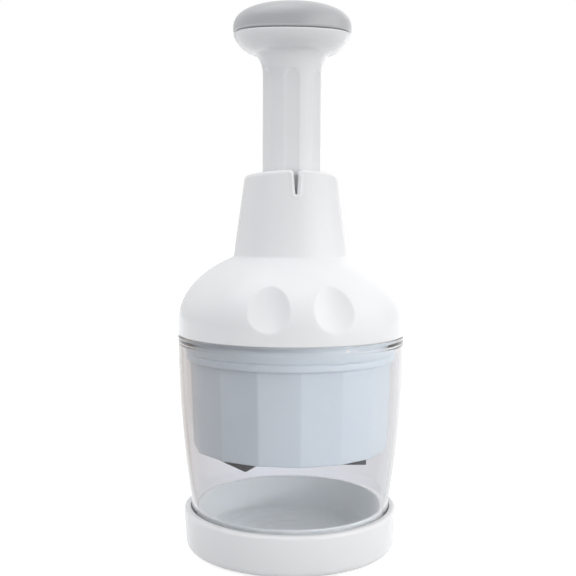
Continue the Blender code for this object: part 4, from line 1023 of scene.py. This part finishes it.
def shadeBlend(tree, along, low, high, first, second):
    share = addNode(tree, "ShaderNodeMapRange", {
        "Value": along, "From Min": low, "From Max": high}, interpolation_type="SMOOTHSTEP")
    return blendColour(tree, share["Result"], first, second)


def rayKinds(tree):
    # camera rays, plain mirror rays, and rays bent by the clear cup, which count as glossy too
    path = addNode(tree, "ShaderNodeLightPath")
    bent = path["Is Transmission Ray"]
    mirrored = calc(tree, "MULTIPLY", path["Is Glossy Ray"], calc(tree, "SUBTRACT", 1.0, bent))
    return path["Is Camera Ray"], mirrored, bent


def makeFloor(look):
    size = look["size"]
    mesh = bpy.data.meshes.new("floor")
    corners = [(-size, -size, 0), (size, -size, 0), (size, size, 0), (-size, size, 0)]
    mesh.from_pydata(corners, [], [(0, 1, 2, 3)])
    material, tree, shader = newMaterial("floor")
    seen, mirrored, bent = rayKinds(tree)
    spot = addNode(tree, "ShaderNodeTexCoord")["Object"]
    across = addNode(tree, "ShaderNodeSeparateXYZ", {0: spot})["X"]
    # to rays bent by the clear cup the floor shows colours other than its own, darkest and warmest to the left,
    # with a weaker glow: painted reflections that the cup's wall shows
    onLeft = shadeBlend(tree, across, -look["sideReach"], 0, look["bentLeft"], look["bentMiddle"])
    through = shadeBlend(tree, across, 0, look["sideReach"], onLeft, look["bentRight"])
    shining = calc(tree, "MAXIMUM", seen, mirrored)
    shining = calc(tree, "MAXIMUM", shining, calc(tree, "MULTIPLY", bent, look["through"]))
    distance = addNode(tree, "ShaderNodeVectorMath", {0: spot}, operation="LENGTH")["Value"]
    lift = addNode(tree, "ShaderNodeMapRange", {
        "Value": distance, "From Min": look["near"], "From Max": look["far"],
        "To Min": look["glow"], "To Max": 1.0})
    feed(tree, shader, {
        "Base Color": blendColour(tree, bent, look["colour"], through), "Roughness": look["roughness"],
        "Emission Color": (1, 1, 1, 1), "Emission Strength": calc(tree, "MULTIPLY", shining, lift["Result"])})
    floor = newObject("floor", mesh)
    floor.data.materials.append(material)


def makeSky(look):
    # colours by the side that a ray leaves to: right is +X and the back is +Y
    world = bpy.data.worlds.new("studio")
    world.use_nodes = True
    bpy.context.scene.world = world
    tree = world.node_tree
    seen, mirrored, bent = rayKinds(tree)
    way = addNode(tree, "ShaderNodeTexCoord")["Generated"]
    parts = addNode(tree, "ShaderNodeSeparateXYZ", {0: way})
    x, y = parts["X"], parts["Y"]
    light = shadeBlend(tree, x, -0.9, 0.9, look["lightLeft"], look["lightRight"])
    front = shadeBlend(tree, x, 0.1, 0.75, look["mirrorFront"], look["mirrorRight"])
    back = shadeBlend(tree, x, -0.5, 0.5, look["mirrorLeft"], look["mirrorBack"])
    mirror = shadeBlend(tree, y, -0.3, 0.5, front, back)
    sides = shadeBlend(tree, x, -0.5, 0.5, look["throughLeft"], look["throughRight"])
    through = shadeBlend(tree, y, 0.75, 0.97, sides, look["through"])
    around = shadeBlend(tree, x, -0.9, 0.0, look["aroundLeft"], look["aroundRight"])
    through = shadeBlend(tree, y, 0.4, 0.7, around, through)
    colour = blendColour(tree, bent, light, through)
    colour = blendColour(tree, mirrored, colour, mirror)
    colour = blendColour(tree, seen, colour, (1.0, 1.0, 1.0))
    feed(tree, tree.nodes["Background"], {"Color": colour})


def addLamp(name, look):
    lamp = bpy.data.lights.new(name, "SPOT" if "cone" in look else "AREA")
    if "cone" in look:
        lamp.spot_size = look["cone"]
        lamp.spot_blend = 1.0
        lamp.shadow_soft_size = look["softness"]
    else:
        lamp.shape = "RECTANGLE"
        lamp.size, lamp.size_y = look["size"]
    lamp.energy = look["power"]
    lamp.color = look["colour"]
    holder = newObject(name, lamp)
    holder.location = look["place"]
    way = Vector((0, 0, look["aim"])) - Vector(look["place"])
    holder.rotation_euler = way.to_track_quat("-Z", "Y").to_euler()
    holder.visible_glossy = "cone" not in look


def makeCamera(look):
    data = bpy.data.cameras.new("camera")
    data.lens = look["lens"]
    data.sensor_width = 36
    data.clip_start = 10 * mm
    camera = newObject("camera", data)
    turn, pitch = look["turn"], look["pitch"]
    back = turnedSpot(turn - pi / 2, cos(pitch), sin(pitch))
    aside = turnedSpot(turn, 1, 0) * look["axisShift"]
    camera.location = Vector((0, 0, look["aimHeight"])) + back * look["distance"] - aside
    camera.rotation_euler = (pi / 2 - pitch, look["roll"], turn)
    bpy.context.scene.camera = camera


floorLook = {
    "size": 4.0, "colour": (0.52, 0.52, 0.525), "roughness": 0.9, "glow": 0.8, "near": 0.07, "far": 0.4,
    "through": 0.23, "sideReach": 0.13,
    # bent colours: painted reflections for the cup's wall, darkest and warmest to the left
    "bentMiddle": (0.49, 0.51, 0.56), "bentLeft": (0.12, 0.075, 0.05), "bentRight": (0.4, 0.4, 0.41),
}
skyLook = {
    "lightLeft": (0.78, 0.785, 0.795), "lightRight": (0.85, 0.85, 0.85),
    "mirrorFront": (0.3, 0.31, 0.33), "mirrorRight": (1.0, 1.0, 1.0), "mirrorBack": (0.86, 0.86, 0.87),
    "mirrorLeft": (0.78, 0.77, 0.76), "through": (0.7, 0.7, 0.74), "throughLeft": (0.4, 0.34, 0.31),
    "throughRight": (0.62, 0.62, 0.64), "aroundLeft": (0.55, 0.56, 0.58), "aroundRight": (1.0, 1.0, 1.0),
}
lamps = {
    "keyRight": {"place": (1.05, -0.3, 0.35), "aim": 0.12, "size": (0.9, 1.0), "power": 1.8,
                 "colour": (1.0, 0.99, 0.97)},
    "topSoft": {"place": (-0.25, -0.15, 0.95), "aim": 0.1, "size": (0.9, 0.9), "power": 2.2,
                "colour": (0.985, 0.99, 1.0)},
    "fillLeft": {"place": (-0.8, -0.5, 0.35), "aim": 0.12, "size": (0.6, 0.9), "power": 0.2,
                 "colour": (0.93, 0.96, 1.0)},
    "frontRight": {"place": (0.8, -0.95, 0.2), "aim": 0.1, "size": (0.9, 0.7), "power": 1.5,
                   "colour": (1.0, 0.995, 0.985)},
    "cupSpot": {"place": (0.8, -0.55, 0.24), "aim": 0.057, "cone": radians(7), "softness": 0.1,
                "power": 30.0, "colour": (1.0, 1.0, 1.0)},
    "backRight": {"place": (0.5, 0.8, 0.4), "aim": 0.12, "size": (0.6, 0.8), "power": 0.7,
                  "colour": (1.0, 1.0, 1.0)},
}
cameraLook = {
    "lens": 59.4, "distance": 430 * mm, "pitch": radians(4.4), "turn": radians(-5.25),
    "aimHeight": 118 * mm, "axisShift": 1.55 * mm, "roll": radians(-0.27),
}
makeFloor(floorLook)
makeSky(skyLook)
for name, look in lamps.items():
    addLamp(name, look)
makeCamera(cameraLook)
bpy.context.scene.view_settings.view_transform = "Standard"
print("studio set")
